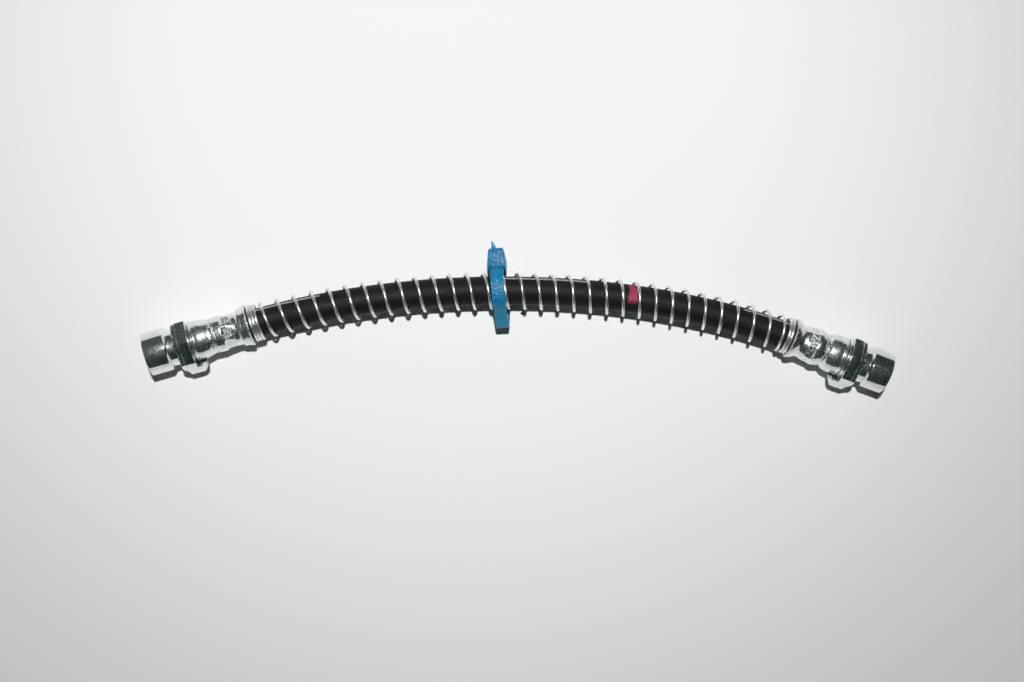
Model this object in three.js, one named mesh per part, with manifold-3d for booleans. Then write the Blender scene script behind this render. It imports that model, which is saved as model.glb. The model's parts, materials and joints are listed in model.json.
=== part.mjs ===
// Brake hose: the short flexible line between a car's brake pipe and its brake.
// A rubber hose has a crimped steel end fitting on each end, a wire spring guards it against
// chafing, and a cable tie hangs on it. Both ends are female, with a keyed hexagon flange.
// Millimetres, +Z up. The hose lies on z = 0 on its flanges and its tie. X runs from one head
// face to the other, and the hose bows towards +Y.
import * as THREE from 'three';
import { mergeVertices } from 'three/addons/utils/BufferGeometryUtils.js';
import Module from 'manifold-3d';

// Fit between pieces that seat on each other
const clearance = 0.3;

// Lie of the whole hose
const faceSpan = 275.5;
const leftRise = THREE.MathUtils.degToRad(17.9);
const rightRise = THREE.MathUtils.degToRad(18.8);
const bowHandle = 64;

// Hose
const hoseDiameter = 10.5;
const hoseBore = 3.2;

// Head of a fitting, from its face at 0 along the fitting's axis
const headDiameter = 16;
const headLength = 8.2;
const headEdge = 0.4;
const shoulderChamfer = 0.8;
const neckDiameter = 13.5;
const neckLength = 3.1;

// Socket in the head, at the core size of an M10 x 1 thread
const socketDiameter = 8.9;
const socketDepth = 12;
const mouthDiameter = 10.2;
const passageDiameter = 3;

// Hexagon flange with its key, which locks the fitting in a bracket
const hexAcross = 16;
const hexLength = 5.3;
const landStep = 0.3;
const landLength = 1.5;
const keyReach = 10.9;
const keyFlank = THREE.MathUtils.degToRad(60);
const keyTipLength = 2.6;
const keyOverhang = 0.4;
const keyRamp = 0.4;
const keyFoot = 1.5;

// Collar and spigot behind the flange, which carry the crimped sleeve. The left sleeve was pressed
// on further, over most of its collar.
const collarDiameter = 15.4;
const leftCollarLength = 0.4;
const rightCollarLength = 1.3;
const collarRound = 0.45;
const spigotDiameter = 9.2;
const spigotLength = 5;

// Crimped sleeves, which end fittingLength from the head's face. Both are drawn from one cup, with
// a rolled ring at the base, two bulges with a crease between them, a waist and a flared lip. The
// dies left each with its own crease and waist: a station is a share of the sleeve's length, and a
// girth is a share of the ring's radius.
const fittingLength = 38.75;
const sleeveWall = 1.1;
const sleeveBaseWall = 1.5;
const ringRadius = 7.65;
const ringAt = 0.6;
const ringLength = 1.35;
const ringGroove = 0.37;
const leftBulges = [
  { station: 0.144, girth: 0.965 },
  { station: 0.24, girth: 0.912 },
  { station: 0.332, girth: 0.85 },
  { station: 0.387, girth: 0.865 },
  { station: 0.5, girth: 0.889 },
  { station: 0.608, girth: 0.824 },
  { station: 0.691, girth: 0.788 },
  { station: 0.751, girth: 0.8 },
  { station: 0.839, girth: 0.906 },
  { station: 0.94, girth: 0.967 },
];
const rightBulges = [
  { station: 0.144, girth: 0.967 },
  { station: 0.24, girth: 0.941 },
  { station: 0.303, girth: 0.895 },
  { station: 0.356, girth: 0.791 },
  { station: 0.413, girth: 0.85 },
  { station: 0.5, girth: 0.908 },
  { station: 0.587, girth: 0.889 },
  { station: 0.697, girth: 0.837 },
  { station: 0.793, girth: 0.778 },
  { station: 0.846, girth: 0.81 },
  { station: 0.899, girth: 0.908 },
  { station: 0.952, girth: 0.967 },
];
const crimpJaws = 8;
const crimpStart = 8.6;
const crimpLength = 3.9;
const crimpRadius = 6.45;

// Insert that spreads the hose's end inside the sleeve
const insertDiameter = 3.8;
const insertBore = 2.2;
const insertSeat = 4.3;
const insertReach = 15.6;

// Spring guard: its end turns lie close, and each end opens over its own number of turns. The open
// turns have slid a little towards +X in the middle, and a little sideways.
const wireDiameter = 1.1;
const springDiameter = 13.9;
const springTurns = 36.6;
const springStart = THREE.MathUtils.degToRad(-18);
const closedPitch = 1.17;
const leftClosedTurns = 2.37;
const leftSpreadTurns = 1;
const rightClosedTurns = 1.2;
const rightSpreadTurns = 2.06;
const springSlide = 0.6;
const springDrift = 0.22;

// Cable tie: its strap runs through these points round the hose's centre, in the tie's plane
const strapWidth = 4.8;
const strapThickness = 1.2;
const strapEdge = 0.3;
const strapRoute = [
  [11, 1.6], [8.9, 4.1], [5.6, 7.1], [0.4, 8.35], [-4.6, 7.0], [-7.7, 3.6], [-10.7, -1.2],
  [-12.9, -5.4], [-11.6, -8.0], [-7.6, -8.38], [0, -8.38], [5.6, -7.5], [9, -4.4], [11, -1.2],
];
const tieAlong = 0.4557;
const tieLean = THREE.MathUtils.degToRad(6.6);
const tieRoll = THREE.MathUtils.degToRad(-8);
const tieHeadStart = 7.7;
const tieHeadLength = 8;
const tieHeadRootWidth = 6.8;
const tieHeadTipWidth = 5.4;
const tieHeadThickness = 5.8;
const tieHeadEdge = 0.5;
const stubLength = 3;
const stubWidth = 1.7;
const stubOffset = -0.7;

// Facets round a turned piece, a bore, the hose and the spring wire
const turnedSides = 32;
const boreSides = 20;
const hoseSides = 24;
const hoseSteps = 26;
const wireSides = 6;
const stepsPerTurn = 12;
const strapSteps = 44;

// Sizes that follow from the ones above
const hexRadius = hexAcross / Math.sqrt(3);
const axisHeight = hexRadius;
const flangeStart = headLength + neckLength;
const flangeEnd = flangeStart + hexLength;
const spigotEnd = flangeEnd + spigotLength;
const hoseStart = spigotEnd + clearance;
const insertStart = spigotEnd - insertSeat;
const insertEnd = spigotEnd + insertReach;

const wasm = await Module();
wasm.setup();

const steel = new THREE.MeshStandardMaterial({ color: 0xb9c0bf, roughness: 0.25, metalness: 1 });
const sleeveSteel = new THREE.MeshStandardMaterial({ color: 0xb3bcb8, roughness: 0.22, metalness: 1 });
const springSteel = new THREE.MeshStandardMaterial({ color: 0xc4c6c6, roughness: 0.3, metalness: 1 });
const rubber = new THREE.MeshStandardMaterial({ color: 0x1b1d1e, roughness: 0.45, metalness: 0 });
const bluePlastic = new THREE.MeshStandardMaterial({ color: 0x1574b4, roughness: 0.4, metalness: 0 });

// A closed three.js geometry as a solid that can be joined and cut
function toSolid(geometry) {
  const bare = geometry.clone();
  bare.deleteAttribute('normal');
  bare.deleteAttribute('uv');
  const merged = mergeVertices(bare, 1e-4);
  const corners = merged.index.array;
  const kept = [];
  for (let i = 0; i < corners.length; i += 3) {
    const [a, b, c] = [corners[i], corners[i + 1], corners[i + 2]];
    if (a !== b && b !== c && c !== a) {
      kept.push(a, b, c);
    }
  }
  return new wasm.Manifold(new wasm.Mesh({
    numProp: 3,
    vertProperties: new Float32Array(merged.attributes.position.array),
    triVerts: new Uint32Array(kept),
  }));
}

// A solid back as a geometry
function toGeometry(solid) {
  const mesh = solid.getMesh();
  const geometry = new THREE.BufferGeometry();
  geometry.setAttribute('position', new THREE.BufferAttribute(new Float32Array(mesh.vertProperties), 3));
  geometry.setIndex(new THREE.BufferAttribute(new Uint32Array(mesh.triVerts), 1));
  geometry.computeVertexNormals();
  return geometry;
}

// A solid turned round the X axis from an outline of [distance along X, radius] corners
function turned(outline, sides = turnedSides) {
  const points = outline.map(([along, radius]) => new THREE.Vector2(radius, along));
  const closed = [...points, points[0].clone()];
  const doubledArea = closed.slice(1).reduce((sum, p, i) => sum + closed[i].x * p.y - p.x * closed[i].y, 0);
  const ordered = doubledArea > 0 ? closed : closed.reverse();
  return toSolid(new THREE.LatheGeometry(ordered, sides).rotateZ(-Math.PI / 2));
}

// An outline in the Y-Z plane, pushed along X from one distance to another
function pushedAlongX(corners, from, to) {
  const shape = new THREE.Shape(corners.map(([y, z]) => new THREE.Vector2(y, z)));
  const geometry = new THREE.ExtrudeGeometry(shape, { depth: to - from, bevelEnabled: false });
  const toX = new THREE.Matrix4().makeBasis(
    new THREE.Vector3(0, 1, 0), new THREE.Vector3(0, 0, 1), new THREE.Vector3(1, 0, 0));
  geometry.applyMatrix4(toX);
  geometry.translate(from, 0, 0);
  return toSolid(geometry);
}

// An outline in the X-Z plane, pushed along Y and centred on it
function pushedAcrossY(corners, width) {
  const shape = new THREE.Shape(corners.map(([x, z]) => new THREE.Vector2(x, z)));
  const geometry = new THREE.ExtrudeGeometry(shape, { depth: width, bevelEnabled: false });
  geometry.rotateX(Math.PI / 2);
  geometry.translate(0, width / 2, 0);
  return toSolid(geometry);
}

function hexagon(across) {
  const radius = across / Math.sqrt(3);
  return Array.from({ length: 6 }, (_, i) => {
    const angle = Math.PI / 6 + i * Math.PI / 3;
    return [radius * Math.cos(angle), radius * Math.sin(angle)];
  });
}

function circle(radius, sides) {
  return Array.from({ length: sides }, (_, i) => {
    const angle = i * 2 * Math.PI / sides;
    return new THREE.Vector2(radius * Math.cos(angle), radius * Math.sin(angle));
  });
}

// Key: a tapered lug on one corner of the hexagon, here the lowest. Its flanks start at the two
// corners beside that one, and each lies level when the flange is rolled by keyFlank. Its foot runs
// on past the flange, and clears the sleeve's ring there.
function keySolid() {
  const rootHalf = hexAcross / 2;
  const rootDepth = hexRadius / 2;
  const tipHalf = rootHalf - (keyReach - rootDepth) / Math.tan(keyFlank);
  const front = [
    [-rootHalf, -rootDepth], [-tipHalf, -keyReach], [tipHalf, -keyReach], [rootHalf, -rootDepth],
  ];
  const tipEnd = flangeEnd + keyOverhang;
  const tipStart = tipEnd - keyTipLength;
  const footEnd = flangeEnd + keyFoot;
  const landDepth = hexRadius - landStep;
  const eaves = ringRadius + clearance;
  const side = [
    [flangeStart, 0], [flangeStart, -neckDiameter / 2], [tipStart - keyRamp, -landDepth],
    [tipStart, -keyReach], [tipEnd, -keyReach], [footEnd, -eaves - keyRamp], [footEnd, -eaves],
    [flangeEnd, -eaves], [flangeEnd, 0],
  ];
  return pushedAlongX(front, flangeStart, footEnd).intersect(pushedAcrossY(side, hexAcross));
}

// What differs between the two ends: where the collar ends and the sleeve starts, and the sleeve's
// outline as [distance from the head's face, outer radius]
function endShape(collarLength, bulges) {
  const collarEnd = flangeEnd + collarLength;
  const sleeveStart = collarEnd + clearance;
  const sleeveLength = fittingLength - sleeveStart;
  const outline = [
    [sleeveStart, ringRadius - ringGroove], [sleeveStart + ringAt, ringRadius],
    [sleeveStart + ringLength, ringRadius - ringGroove],
    ...bulges.map(({ station, girth }) => [sleeveStart + station * sleeveLength, girth * ringRadius]),
    [fittingLength, ringRadius],
  ];
  return { collarEnd, sleeveStart, outline };
}

const leftEnd = endShape(leftCollarLength, leftBulges);
const rightEnd = endShape(rightCollarLength, rightBulges);

// Fitting: head, clip neck, keyed flange, collar and spigot in one turned and forged piece
function fittingSolid({ collarEnd }) {
  const headRadius = headDiameter / 2;
  const neckRadius = neckDiameter / 2;
  const collarRadius = collarDiameter / 2;
  const socketRadius = socketDiameter / 2;
  const seatDepth = (socketRadius - passageDiameter / 2) / Math.sqrt(3);
  const shoulderEnd = headLength + shoulderChamfer / 2;
  const outside = turned([
    [0, 0], [0, headRadius - headEdge], [headEdge, headRadius],
    [shoulderEnd - shoulderChamfer, headRadius], [shoulderEnd, headRadius - shoulderChamfer],
    [shoulderEnd, neckRadius],
    [flangeEnd - collarRound, neckRadius], [flangeEnd - collarRound, collarRadius],
    [collarEnd - collarRound, collarRadius], [collarEnd, collarRadius - collarRound],
    [collarEnd, spigotDiameter / 2], [spigotEnd, spigotDiameter / 2], [spigotEnd, 0],
  ]);
  const flange = pushedAlongX(hexagon(hexAcross), flangeStart + landLength, flangeEnd);
  const land = pushedAlongX(hexagon(hexAcross - 2 * landStep), flangeStart, flangeEnd);
  const inside = turned([
    [-clearance, 0], [-clearance, mouthDiameter / 2], [0, mouthDiameter / 2],
    [(mouthDiameter - socketDiameter) / 2, socketRadius], [socketDepth, socketRadius],
    [socketDepth + seatDepth, passageDiameter / 2], [insertStart - clearance, passageDiameter / 2],
    [insertStart - clearance, insertDiameter / 2 + clearance],
    [spigotEnd + clearance, insertDiameter / 2 + clearance], [spigotEnd + clearance, 0],
  ], boreSides);
  return outside.add(flange).add(land).add(keySolid()).subtract(inside);
}

// Outlines of the sleeve's inside behind its base, and of the hose's outside in it
function sleeveInside({ sleeveStart, outline }, inset) {
  const baseEnd = sleeveStart + sleeveBaseWall;
  const behind = outline.filter(([at]) => at > baseEnd);
  return [[baseEnd, behind[0][1]], ...behind].map(([at, radius]) => [at, radius - inset]);
}

// Sleeve: a drawn steel cup, swaged on the spigot and squeezed on the hose, with a flared lip.
// Eight jaws leave flats on its second bulge.
function sleeveSolid(end) {
  const { sleeveStart, outline } = end;
  const holeRadius = spigotDiameter / 2 + clearance;
  const inner = sleeveInside(end, sleeveWall);
  const lipInside = inner.at(-1)[1];
  const cavity = turned([
    [sleeveStart - clearance, 0], [sleeveStart - clearance, holeRadius], [inner[0][0], holeRadius],
    ...inner, [fittingLength + clearance, lipInside], [fittingLength + clearance, 0],
  ], boreSides);
  let sleeve = turned([[sleeveStart, 0], ...outline, [fittingLength, 0]]).subtract(cavity);
  const jawDepth = ringRadius - crimpRadius;
  const jawWidth = 2 * crimpRadius;
  const jaw = [
    [-jawWidth / 2, crimpRadius], [jawWidth / 2, crimpRadius],
    [jawWidth / 2, crimpRadius + jawDepth], [-jawWidth / 2, crimpRadius + jawDepth],
  ];
  const jawStart = sleeveStart + crimpStart;
  const jawSolid = pushedAlongX(jaw, jawStart, jawStart + crimpLength);
  for (let i = 0; i < crimpJaws; i += 1) {
    sleeve = sleeve.subtract(jawSolid.rotate([i * 360 / crimpJaws, 0, 0]));
  }
  return sleeve;
}

function insertSolid() {
  return turned([
    [insertStart, insertBore / 2], [insertStart, insertDiameter / 2],
    [insertEnd, insertDiameter / 2], [insertEnd, insertBore / 2],
  ], boreSides);
}

// What the sleeve and the insert take from the hose's end: a squeezed outside and a spread bore.
// The jaws' flats reach deeper than the sleeve's round outline.
function hoseEndCut(end) {
  const slack = 0.2;
  const inset = sleeveWall + clearance;
  const widest = hoseDiameter / 2 + slack;
  const jawStart = end.sleeveStart + crimpStart;
  const squeezed = sleeveInside(end, inset).map(([at, radius]) => {
    const inJaws = at > jawStart - sleeveWall && at < jawStart + crimpLength + sleeveWall;
    return [at, Math.min(widest, radius, inJaws ? crimpRadius - inset : widest)];
  });
  const ringOutside = headDiameter / 2;
  const ring = turned([
    ...squeezed, [fittingLength, ringOutside], [squeezed[0][0], ringOutside],
  ], hoseSides);
  const spread = turned([
    [hoseStart - clearance, 0], [hoseStart - clearance, insertDiameter / 2 + clearance],
    [insertEnd + clearance, insertDiameter / 2 + clearance], [insertEnd + clearance, 0],
  ], boreSides);
  return ring.add(spread);
}

// Place of each fitting: its face, and its axis towards the hose
const leftFace = new THREE.Vector3(-faceSpan / 2, 0, axisHeight);
const rightFace = new THREE.Vector3(faceSpan / 2, 0, axisHeight);
const leftAxis = new THREE.Vector3(Math.cos(leftRise), Math.sin(leftRise), 0);
const rightAxis = new THREE.Vector3(-Math.cos(rightRise), Math.sin(rightRise), 0);

function along(face, axis, distance) {
  return face.clone().addScaledVector(axis, distance);
}

// The hose's free stretch between the two lips, and its whole route
const freeCurve = new THREE.CubicBezierCurve3(
  along(leftFace, leftAxis, fittingLength), along(leftFace, leftAxis, fittingLength + bowHandle),
  along(rightFace, rightAxis, fittingLength + bowHandle), along(rightFace, rightAxis, fittingLength));
const hoseRoute = new THREE.CurvePath();
hoseRoute.add(new THREE.LineCurve3(along(leftFace, leftAxis, hoseStart), freeCurve.v0));
hoseRoute.add(freeCurve);
hoseRoute.add(new THREE.LineCurve3(freeCurve.v3, along(rightFace, rightAxis, hoseStart)));

// A fitting's frame in the world: X along its axis to the hose, rolled so that one flank of the
// key lies level below it and the key points to -Y
function fittingFrame(face, axis, roll) {
  const turn = Math.atan2(axis.y, axis.x);
  return new THREE.Matrix4().makeTranslation(face.x, face.y, face.z)
    .multiply(new THREE.Matrix4().makeRotationZ(turn))
    .multiply(new THREE.Matrix4().makeRotationX(roll));
}

const leftFrame = fittingFrame(leftFace, leftAxis, -keyFlank);
const rightFrame = fittingFrame(rightFace, rightAxis, keyFlank);

function hoseSolid() {
  const section = new THREE.Shape(circle(hoseDiameter / 2, hoseSides));
  section.holes.push(new THREE.Path(circle(hoseBore / 2, hoseSides / 2)));
  const geometry = new THREE.ExtrudeGeometry(section, { steps: hoseSteps, extrudePath: hoseRoute });
  return toSolid(geometry)
    .subtract(hoseEndCut(leftEnd).transform(leftFrame.elements))
    .subtract(hoseEndCut(rightEnd).transform(rightFrame.elements));
}

// Spring guard: a right-handed coil round the hose. Its end turns lie close together against the
// lips, and its pitch then opens smoothly to one even pitch.
class SpringRoute extends THREE.Curve {
  constructor() {
    super();
    this.arcLengthDivisions = 8 * stepsPerTurn * Math.ceil(springTurns);
    this.length = freeCurve.getLength();
    this.start = clearance + wireDiameter / 2;
    const openTurns = springTurns
      - leftClosedTurns - leftSpreadTurns / 2 - rightClosedTurns - rightSpreadTurns / 2;
    const openLength = this.length - 2 * this.start - closedPitch * springTurns;
    this.opening = openLength / openTurns;
  }

  // Distance along the wire's end after a number of turns
  travel(turns, closedTurns, spreadTurns) {
    const spread = (turns - closedTurns) / spreadTurns;
    let openedTurns = 0;
    if (spread > 1) {
      openedTurns = spreadTurns * (spread - 0.5);
    } else if (spread > 0) {
      openedTurns = spreadTurns * (spread ** 3 - spread ** 4 / 2);
    }
    return this.start + closedPitch * turns + this.opening * openedTurns;
  }

  station(turns) {
    const even = turns <= springTurns / 2
      ? this.travel(turns, leftClosedTurns, leftSpreadTurns)
      : this.length - this.travel(springTurns - turns, rightClosedTurns, rightSpreadTurns);
    const fromEnds = Math.max(even * (this.length - even), 0) / (this.length / 2) ** 2;
    return even + springSlide * fromEnds ** 2;
  }

  getPoint(share, target = new THREE.Vector3()) {
    const turns = share * springTurns;
    const place = this.station(turns) / this.length;
    const tangent = freeCurve.getTangentAt(place);
    const side = new THREE.Vector3(-tangent.y, tangent.x, 0);
    const angle = springStart + 2 * Math.PI * turns;
    const radius = (springDiameter - wireDiameter) / 2;
    const drift = springDrift * Math.cos(2 * Math.PI * place);
    target.copy(freeCurve.getPointAt(place));
    target.addScaledVector(side, radius * Math.cos(angle) + drift);
    target.z += radius * Math.sin(angle);
    return target;
  }
}

function springGeometry() {
  const section = new THREE.Shape(circle(wireDiameter / 2, wireSides));
  const steps = Math.round(springTurns * stepsPerTurn);
  return new THREE.ExtrudeGeometry(section, { steps, extrudePath: new SpringRoute() });
}

// Cable tie: one moulding. The strap's tail has passed through the head and is cut to a stub.
function tieSolid() {
  const route = new THREE.CatmullRomCurve3(strapRoute.map(([y, z]) => new THREE.Vector3(0, y, z)));
  const [halfWidth, halfThickness] = [strapWidth / 2, strapThickness / 2];
  const section = new THREE.Shape([
    [-halfWidth, -halfThickness + strapEdge], [-halfWidth + strapEdge, -halfThickness],
    [halfWidth - strapEdge, -halfThickness], [halfWidth, -halfThickness + strapEdge],
    [halfWidth, halfThickness - strapEdge], [halfWidth - strapEdge, halfThickness],
    [-halfWidth + strapEdge, halfThickness], [-halfWidth, halfThickness - strapEdge],
  ].map(([x, y]) => new THREE.Vector2(x, y)));
  const strap = toSolid(new THREE.ExtrudeGeometry(section, { steps: strapSteps, extrudePath: route }));
  const headEnd = tieHeadStart + tieHeadLength;
  const head = pushedUp([
    [-tieHeadRootWidth / 2, tieHeadStart], [tieHeadRootWidth / 2, tieHeadStart],
    [tieHeadRootWidth / 2, tieHeadStart + tieHeadLength / 2],
    [tieHeadTipWidth / 2, headEnd - tieHeadEdge], [tieHeadTipWidth / 2 - tieHeadEdge, headEnd],
    [-tieHeadTipWidth / 2 + tieHeadEdge, headEnd], [-tieHeadTipWidth / 2, headEnd - tieHeadEdge],
    [-tieHeadRootWidth / 2, tieHeadStart + tieHeadLength / 2],
  ], tieHeadThickness, tieHeadEdge);
  const stub = pushedUp([
    [stubOffset - stubWidth / 2, headEnd - tieHeadEdge], [stubOffset + stubWidth / 2, headEnd - tieHeadEdge],
    [stubOffset + stubWidth / 2, headEnd + tieHeadEdge], [stubOffset - stubWidth / 3, headEnd + stubLength],
  ], strapThickness, 0);
  return strap.add(head).add(stub);
}

// An outline in the X-Y plane, pushed up to a thickness centred on the plane, with its rims eased
function pushedUp(corners, thickness, edge) {
  const shape = new THREE.Shape(corners.map(([x, y]) => new THREE.Vector2(x, y)));
  const settings = { depth: thickness - 2 * edge, bevelEnabled: edge > 0 };
  Object.assign(settings, { bevelThickness: edge, bevelSize: edge, bevelOffset: -edge, bevelSegments: 1 });
  const geometry = new THREE.ExtrudeGeometry(shape, settings);
  geometry.translate(0, 0, edge - thickness / 2);
  return toSolid(geometry);
}

// Assembly
function piece(name, geometry, material) {
  const mesh = new THREE.Mesh(geometry, material);
  mesh.name = name;
  return mesh;
}

function fitting(side, frame, end) {
  const group = new THREE.Group();
  group.add(piece(`${side}_fitting`, toGeometry(fittingSolid(end)), steel));
  group.add(piece(`${side}_ferrule`, toGeometry(sleeveSolid(end)), sleeveSteel));
  group.add(piece(`${side}_insert`, toGeometry(insertSolid()), steel));
  group.applyMatrix4(frame);
  return group;
}

const brakeHose = new THREE.Group();
brakeHose.add(fitting('left', leftFrame, leftEnd));
brakeHose.add(fitting('right', rightFrame, rightEnd));
brakeHose.add(piece('hose', toGeometry(hoseSolid()), rubber));
brakeHose.add(piece('spring_guard', springGeometry(), springSteel));

const tie = piece('cable_tie', toGeometry(tieSolid()), bluePlastic);
tie.position.copy(freeCurve.getPointAt(tieAlong));
tie.rotation.set(0, tieRoll, tieLean, 'ZYX');
tie.position.z -= new THREE.Box3().setFromObject(tie, true).min.z;
brakeHose.add(tie);

// The origin is under the middle of the whole hose
const bounds = new THREE.Box3().setFromObject(brakeHose, true);
const middle = bounds.getCenter(new THREE.Vector3());
brakeHose.position.set(-middle.x, -middle.y, -bounds.min.z);

export default brakeHose;
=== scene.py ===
"""Brake hose: a rubber hose with crimped end fittings, a wire spring guard and a blue cable tie.

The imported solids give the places. Each class below makes one sub-assembly as it looks: fine turned
and crimped surfaces, the helix of the guard, the moulded tie, and the finish of each of them.
Sizes are in millimetres until they reach a mesh, which is in metres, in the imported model's frame.
"""

import json
import logging
import math
from dataclasses import dataclass, field
from enum import Enum

import bmesh
import bpy
import numpy as np
from mathutils import Matrix, Vector


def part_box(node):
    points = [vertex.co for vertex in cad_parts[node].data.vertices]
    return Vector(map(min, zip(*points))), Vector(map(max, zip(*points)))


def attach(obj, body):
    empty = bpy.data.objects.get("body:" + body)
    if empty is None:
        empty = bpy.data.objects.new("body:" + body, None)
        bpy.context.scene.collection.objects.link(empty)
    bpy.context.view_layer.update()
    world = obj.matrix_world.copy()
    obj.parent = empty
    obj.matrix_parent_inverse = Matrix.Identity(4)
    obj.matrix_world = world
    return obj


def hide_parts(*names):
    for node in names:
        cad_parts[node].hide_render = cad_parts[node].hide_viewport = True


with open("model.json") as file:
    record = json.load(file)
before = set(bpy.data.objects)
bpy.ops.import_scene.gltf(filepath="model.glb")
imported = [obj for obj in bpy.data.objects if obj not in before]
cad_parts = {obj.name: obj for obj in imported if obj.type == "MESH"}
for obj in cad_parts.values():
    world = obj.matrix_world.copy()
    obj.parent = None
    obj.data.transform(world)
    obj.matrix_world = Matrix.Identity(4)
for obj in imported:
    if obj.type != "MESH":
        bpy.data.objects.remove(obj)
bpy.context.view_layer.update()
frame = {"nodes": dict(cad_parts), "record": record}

LOG = logging.getLogger("brake_hose")
UPWARDS = np.array([0.0, 0.0, 1.0])
MM = 0.001
CLEARANCE = 0.3
NOISE_SPAN = (0.3, 0.7)
BEVELLED_FROM = math.radians(25)
BODY = "root"
Span = tuple[float, float]
Colour = tuple[float, float, float]
Place = tuple[float, float, float]
Band = tuple[float, float, float]


class Side(Enum):
    """Which end of the hose a fitting is on."""

    LEFT = "left"
    RIGHT = "right"


# Each scuffed band has its start and end from the fitting's face, and the share that is scuffed.
FORGED_EDGES: tuple[Band, ...] = ((11.2, 11.8, 0.45), (12.6, 13.05, 0.5), (16.35, 16.65, 0.4))
CRIMP_SCUFFS: dict[Side, tuple[Band, ...]] = {
    Side.LEFT: ((24.0, 26.4, 0.45), (28.8, 29.5, 0.4), (32.6, 33.3, 0.4), (38.3, 39.2, 0.7)),
    Side.RIGHT: ((24.6, 26.8, 0.4), (29.6, 33.2, 0.45), (38.3, 39.2, 0.7)),
}

# Where the hose's line runs and its paint mark lies, in X from the middle between the end faces.
LINE_RUNS: tuple[Span, ...] = ((-99.0, -74.5), (-9.0, 23.0), (81.5, 100.0))
PAINT_MARK: Span = (38.65, 42.0)

# Surfaces and meshes


def smoothstep(low: float, high: float, values: np.ndarray) -> np.ndarray:
    """Rises smoothly from 0 at low to 1 at high.

    Args:
        low: Where the rise starts.
        high: Where the rise ends.
        values: The places to work it out for.

    Returns:
        3x^2 - 2x^3, with x the clamped share of the way from low to high.
    """
    share = np.clip((values - low) / (high - low), 0.0, 1.0)
    return share * share * (3.0 - 2.0 * share)


def smooth_minimum(first: np.ndarray, second: np.ndarray, blend: float) -> np.ndarray:
    """The lesser of two surfaces, with the crease between them rounded.

    Args:
        first: One height at each point.
        second: The other height at each point.
        blend: How far apart the two may be and still melt together.

    Returns:
        The mean less half of sqrt(difference^2 + blend^2).
    """
    return 0.5 * (first + second - np.sqrt((first - second) ** 2 + blend * blend))


def spline_through(points: np.ndarray, per_span: int) -> np.ndarray:
    """A Catmull-Rom curve through points: each span is the cubic with slopes of half the chord
    between the points on either side of its ends.

    Args:
        points: The points, one row each.
        per_span: How many steps each span gets.

    Returns:
        The points of the curve, with the last given point at its end.
    """
    before = np.vstack([points[:1], points[:-2], points[-3:-2]])[: len(points) - 1]
    after = np.vstack([points[2:], points[-1:]])
    start, end = points[:-1], points[1:]
    t = (np.arange(per_span) / per_span)[None, :, None]
    slope_in = 0.5 * (end - before)[:, None, :]
    slope_out = 0.5 * (after - start)[:, None, :]
    curve = (
        (2 * t**3 - 3 * t**2 + 1) * start[:, None, :]
        + (t**3 - 2 * t**2 + t) * slope_in
        + (3 * t**2 - 2 * t**3) * end[:, None, :]
        + (t**3 - t**2) * slope_out
    )
    return np.vstack([curve.reshape(-1, points.shape[1]), points[-1:]])


def eased_outline(corners: list[tuple[float, float, float]], steps: int = 4) -> np.ndarray:
    """A closed outline with each corner rounded by a quadratic curve that starts and ends at the
    corner's radius from it.

    Args:
        corners: Each corner's two coordinates and its radius. A radius of 0 leaves it sharp.
        steps: How many steps a rounded corner gets.

    Returns:
        The outline's points in order.
    """
    parts = []
    places = np.array([corner[:2] for corner in corners], float)
    share = np.linspace(0.0, 1.0, steps + 1)[:, None]
    for i, (_, _, radius) in enumerate(corners):
        here = places[i]
        if radius == 0.0:
            parts.append(here[None, :])
            continue
        back = places[i - 1] - here
        ahead = places[(i + 1) % len(places)] - here
        start = here + back / np.linalg.norm(back) * radius
        end = here + ahead / np.linalg.norm(ahead) * radius
        parts.append((1 - share) ** 2 * start + 2 * share * (1 - share) * here + share**2 * end)
    return np.vstack(parts)


def grid_faces(rows: int, columns: int, closed: bool) -> np.ndarray:
    """Quads of a grid whose columns wrap round, point (i, j) being number i * columns + j.

    Args:
        rows: Number of rows of points.
        columns: Number of points in a row.
        closed: Whether the last row joins the first.

    Returns:
        Four point numbers a face.
    """
    i = np.arange(rows if closed else rows - 1)[:, None]
    j = np.arange(columns)[None, :]
    below, right = (i + 1) % rows, (j + 1) % columns
    corners = [i * columns + j, i * columns + right, below * columns + right, below * columns + j]
    return np.stack(np.broadcast_arrays(*corners), axis=-1).reshape(-1, 4)


def round_axis(along: np.ndarray, radius: np.ndarray | float, angle: np.ndarray) -> np.ndarray:
    """Points round the X axis: Y is radius * cos(angle) and Z is radius * sin(angle).

    Args:
        along: Distances along the axis.
        radius: Radii.
        angle: Angles round the axis.

    Returns:
        The points, in the shape that the three make together.
    """
    return np.stack(np.broadcast_arrays(along, radius * np.cos(angle), radius * np.sin(angle)), axis=-1)


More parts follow.
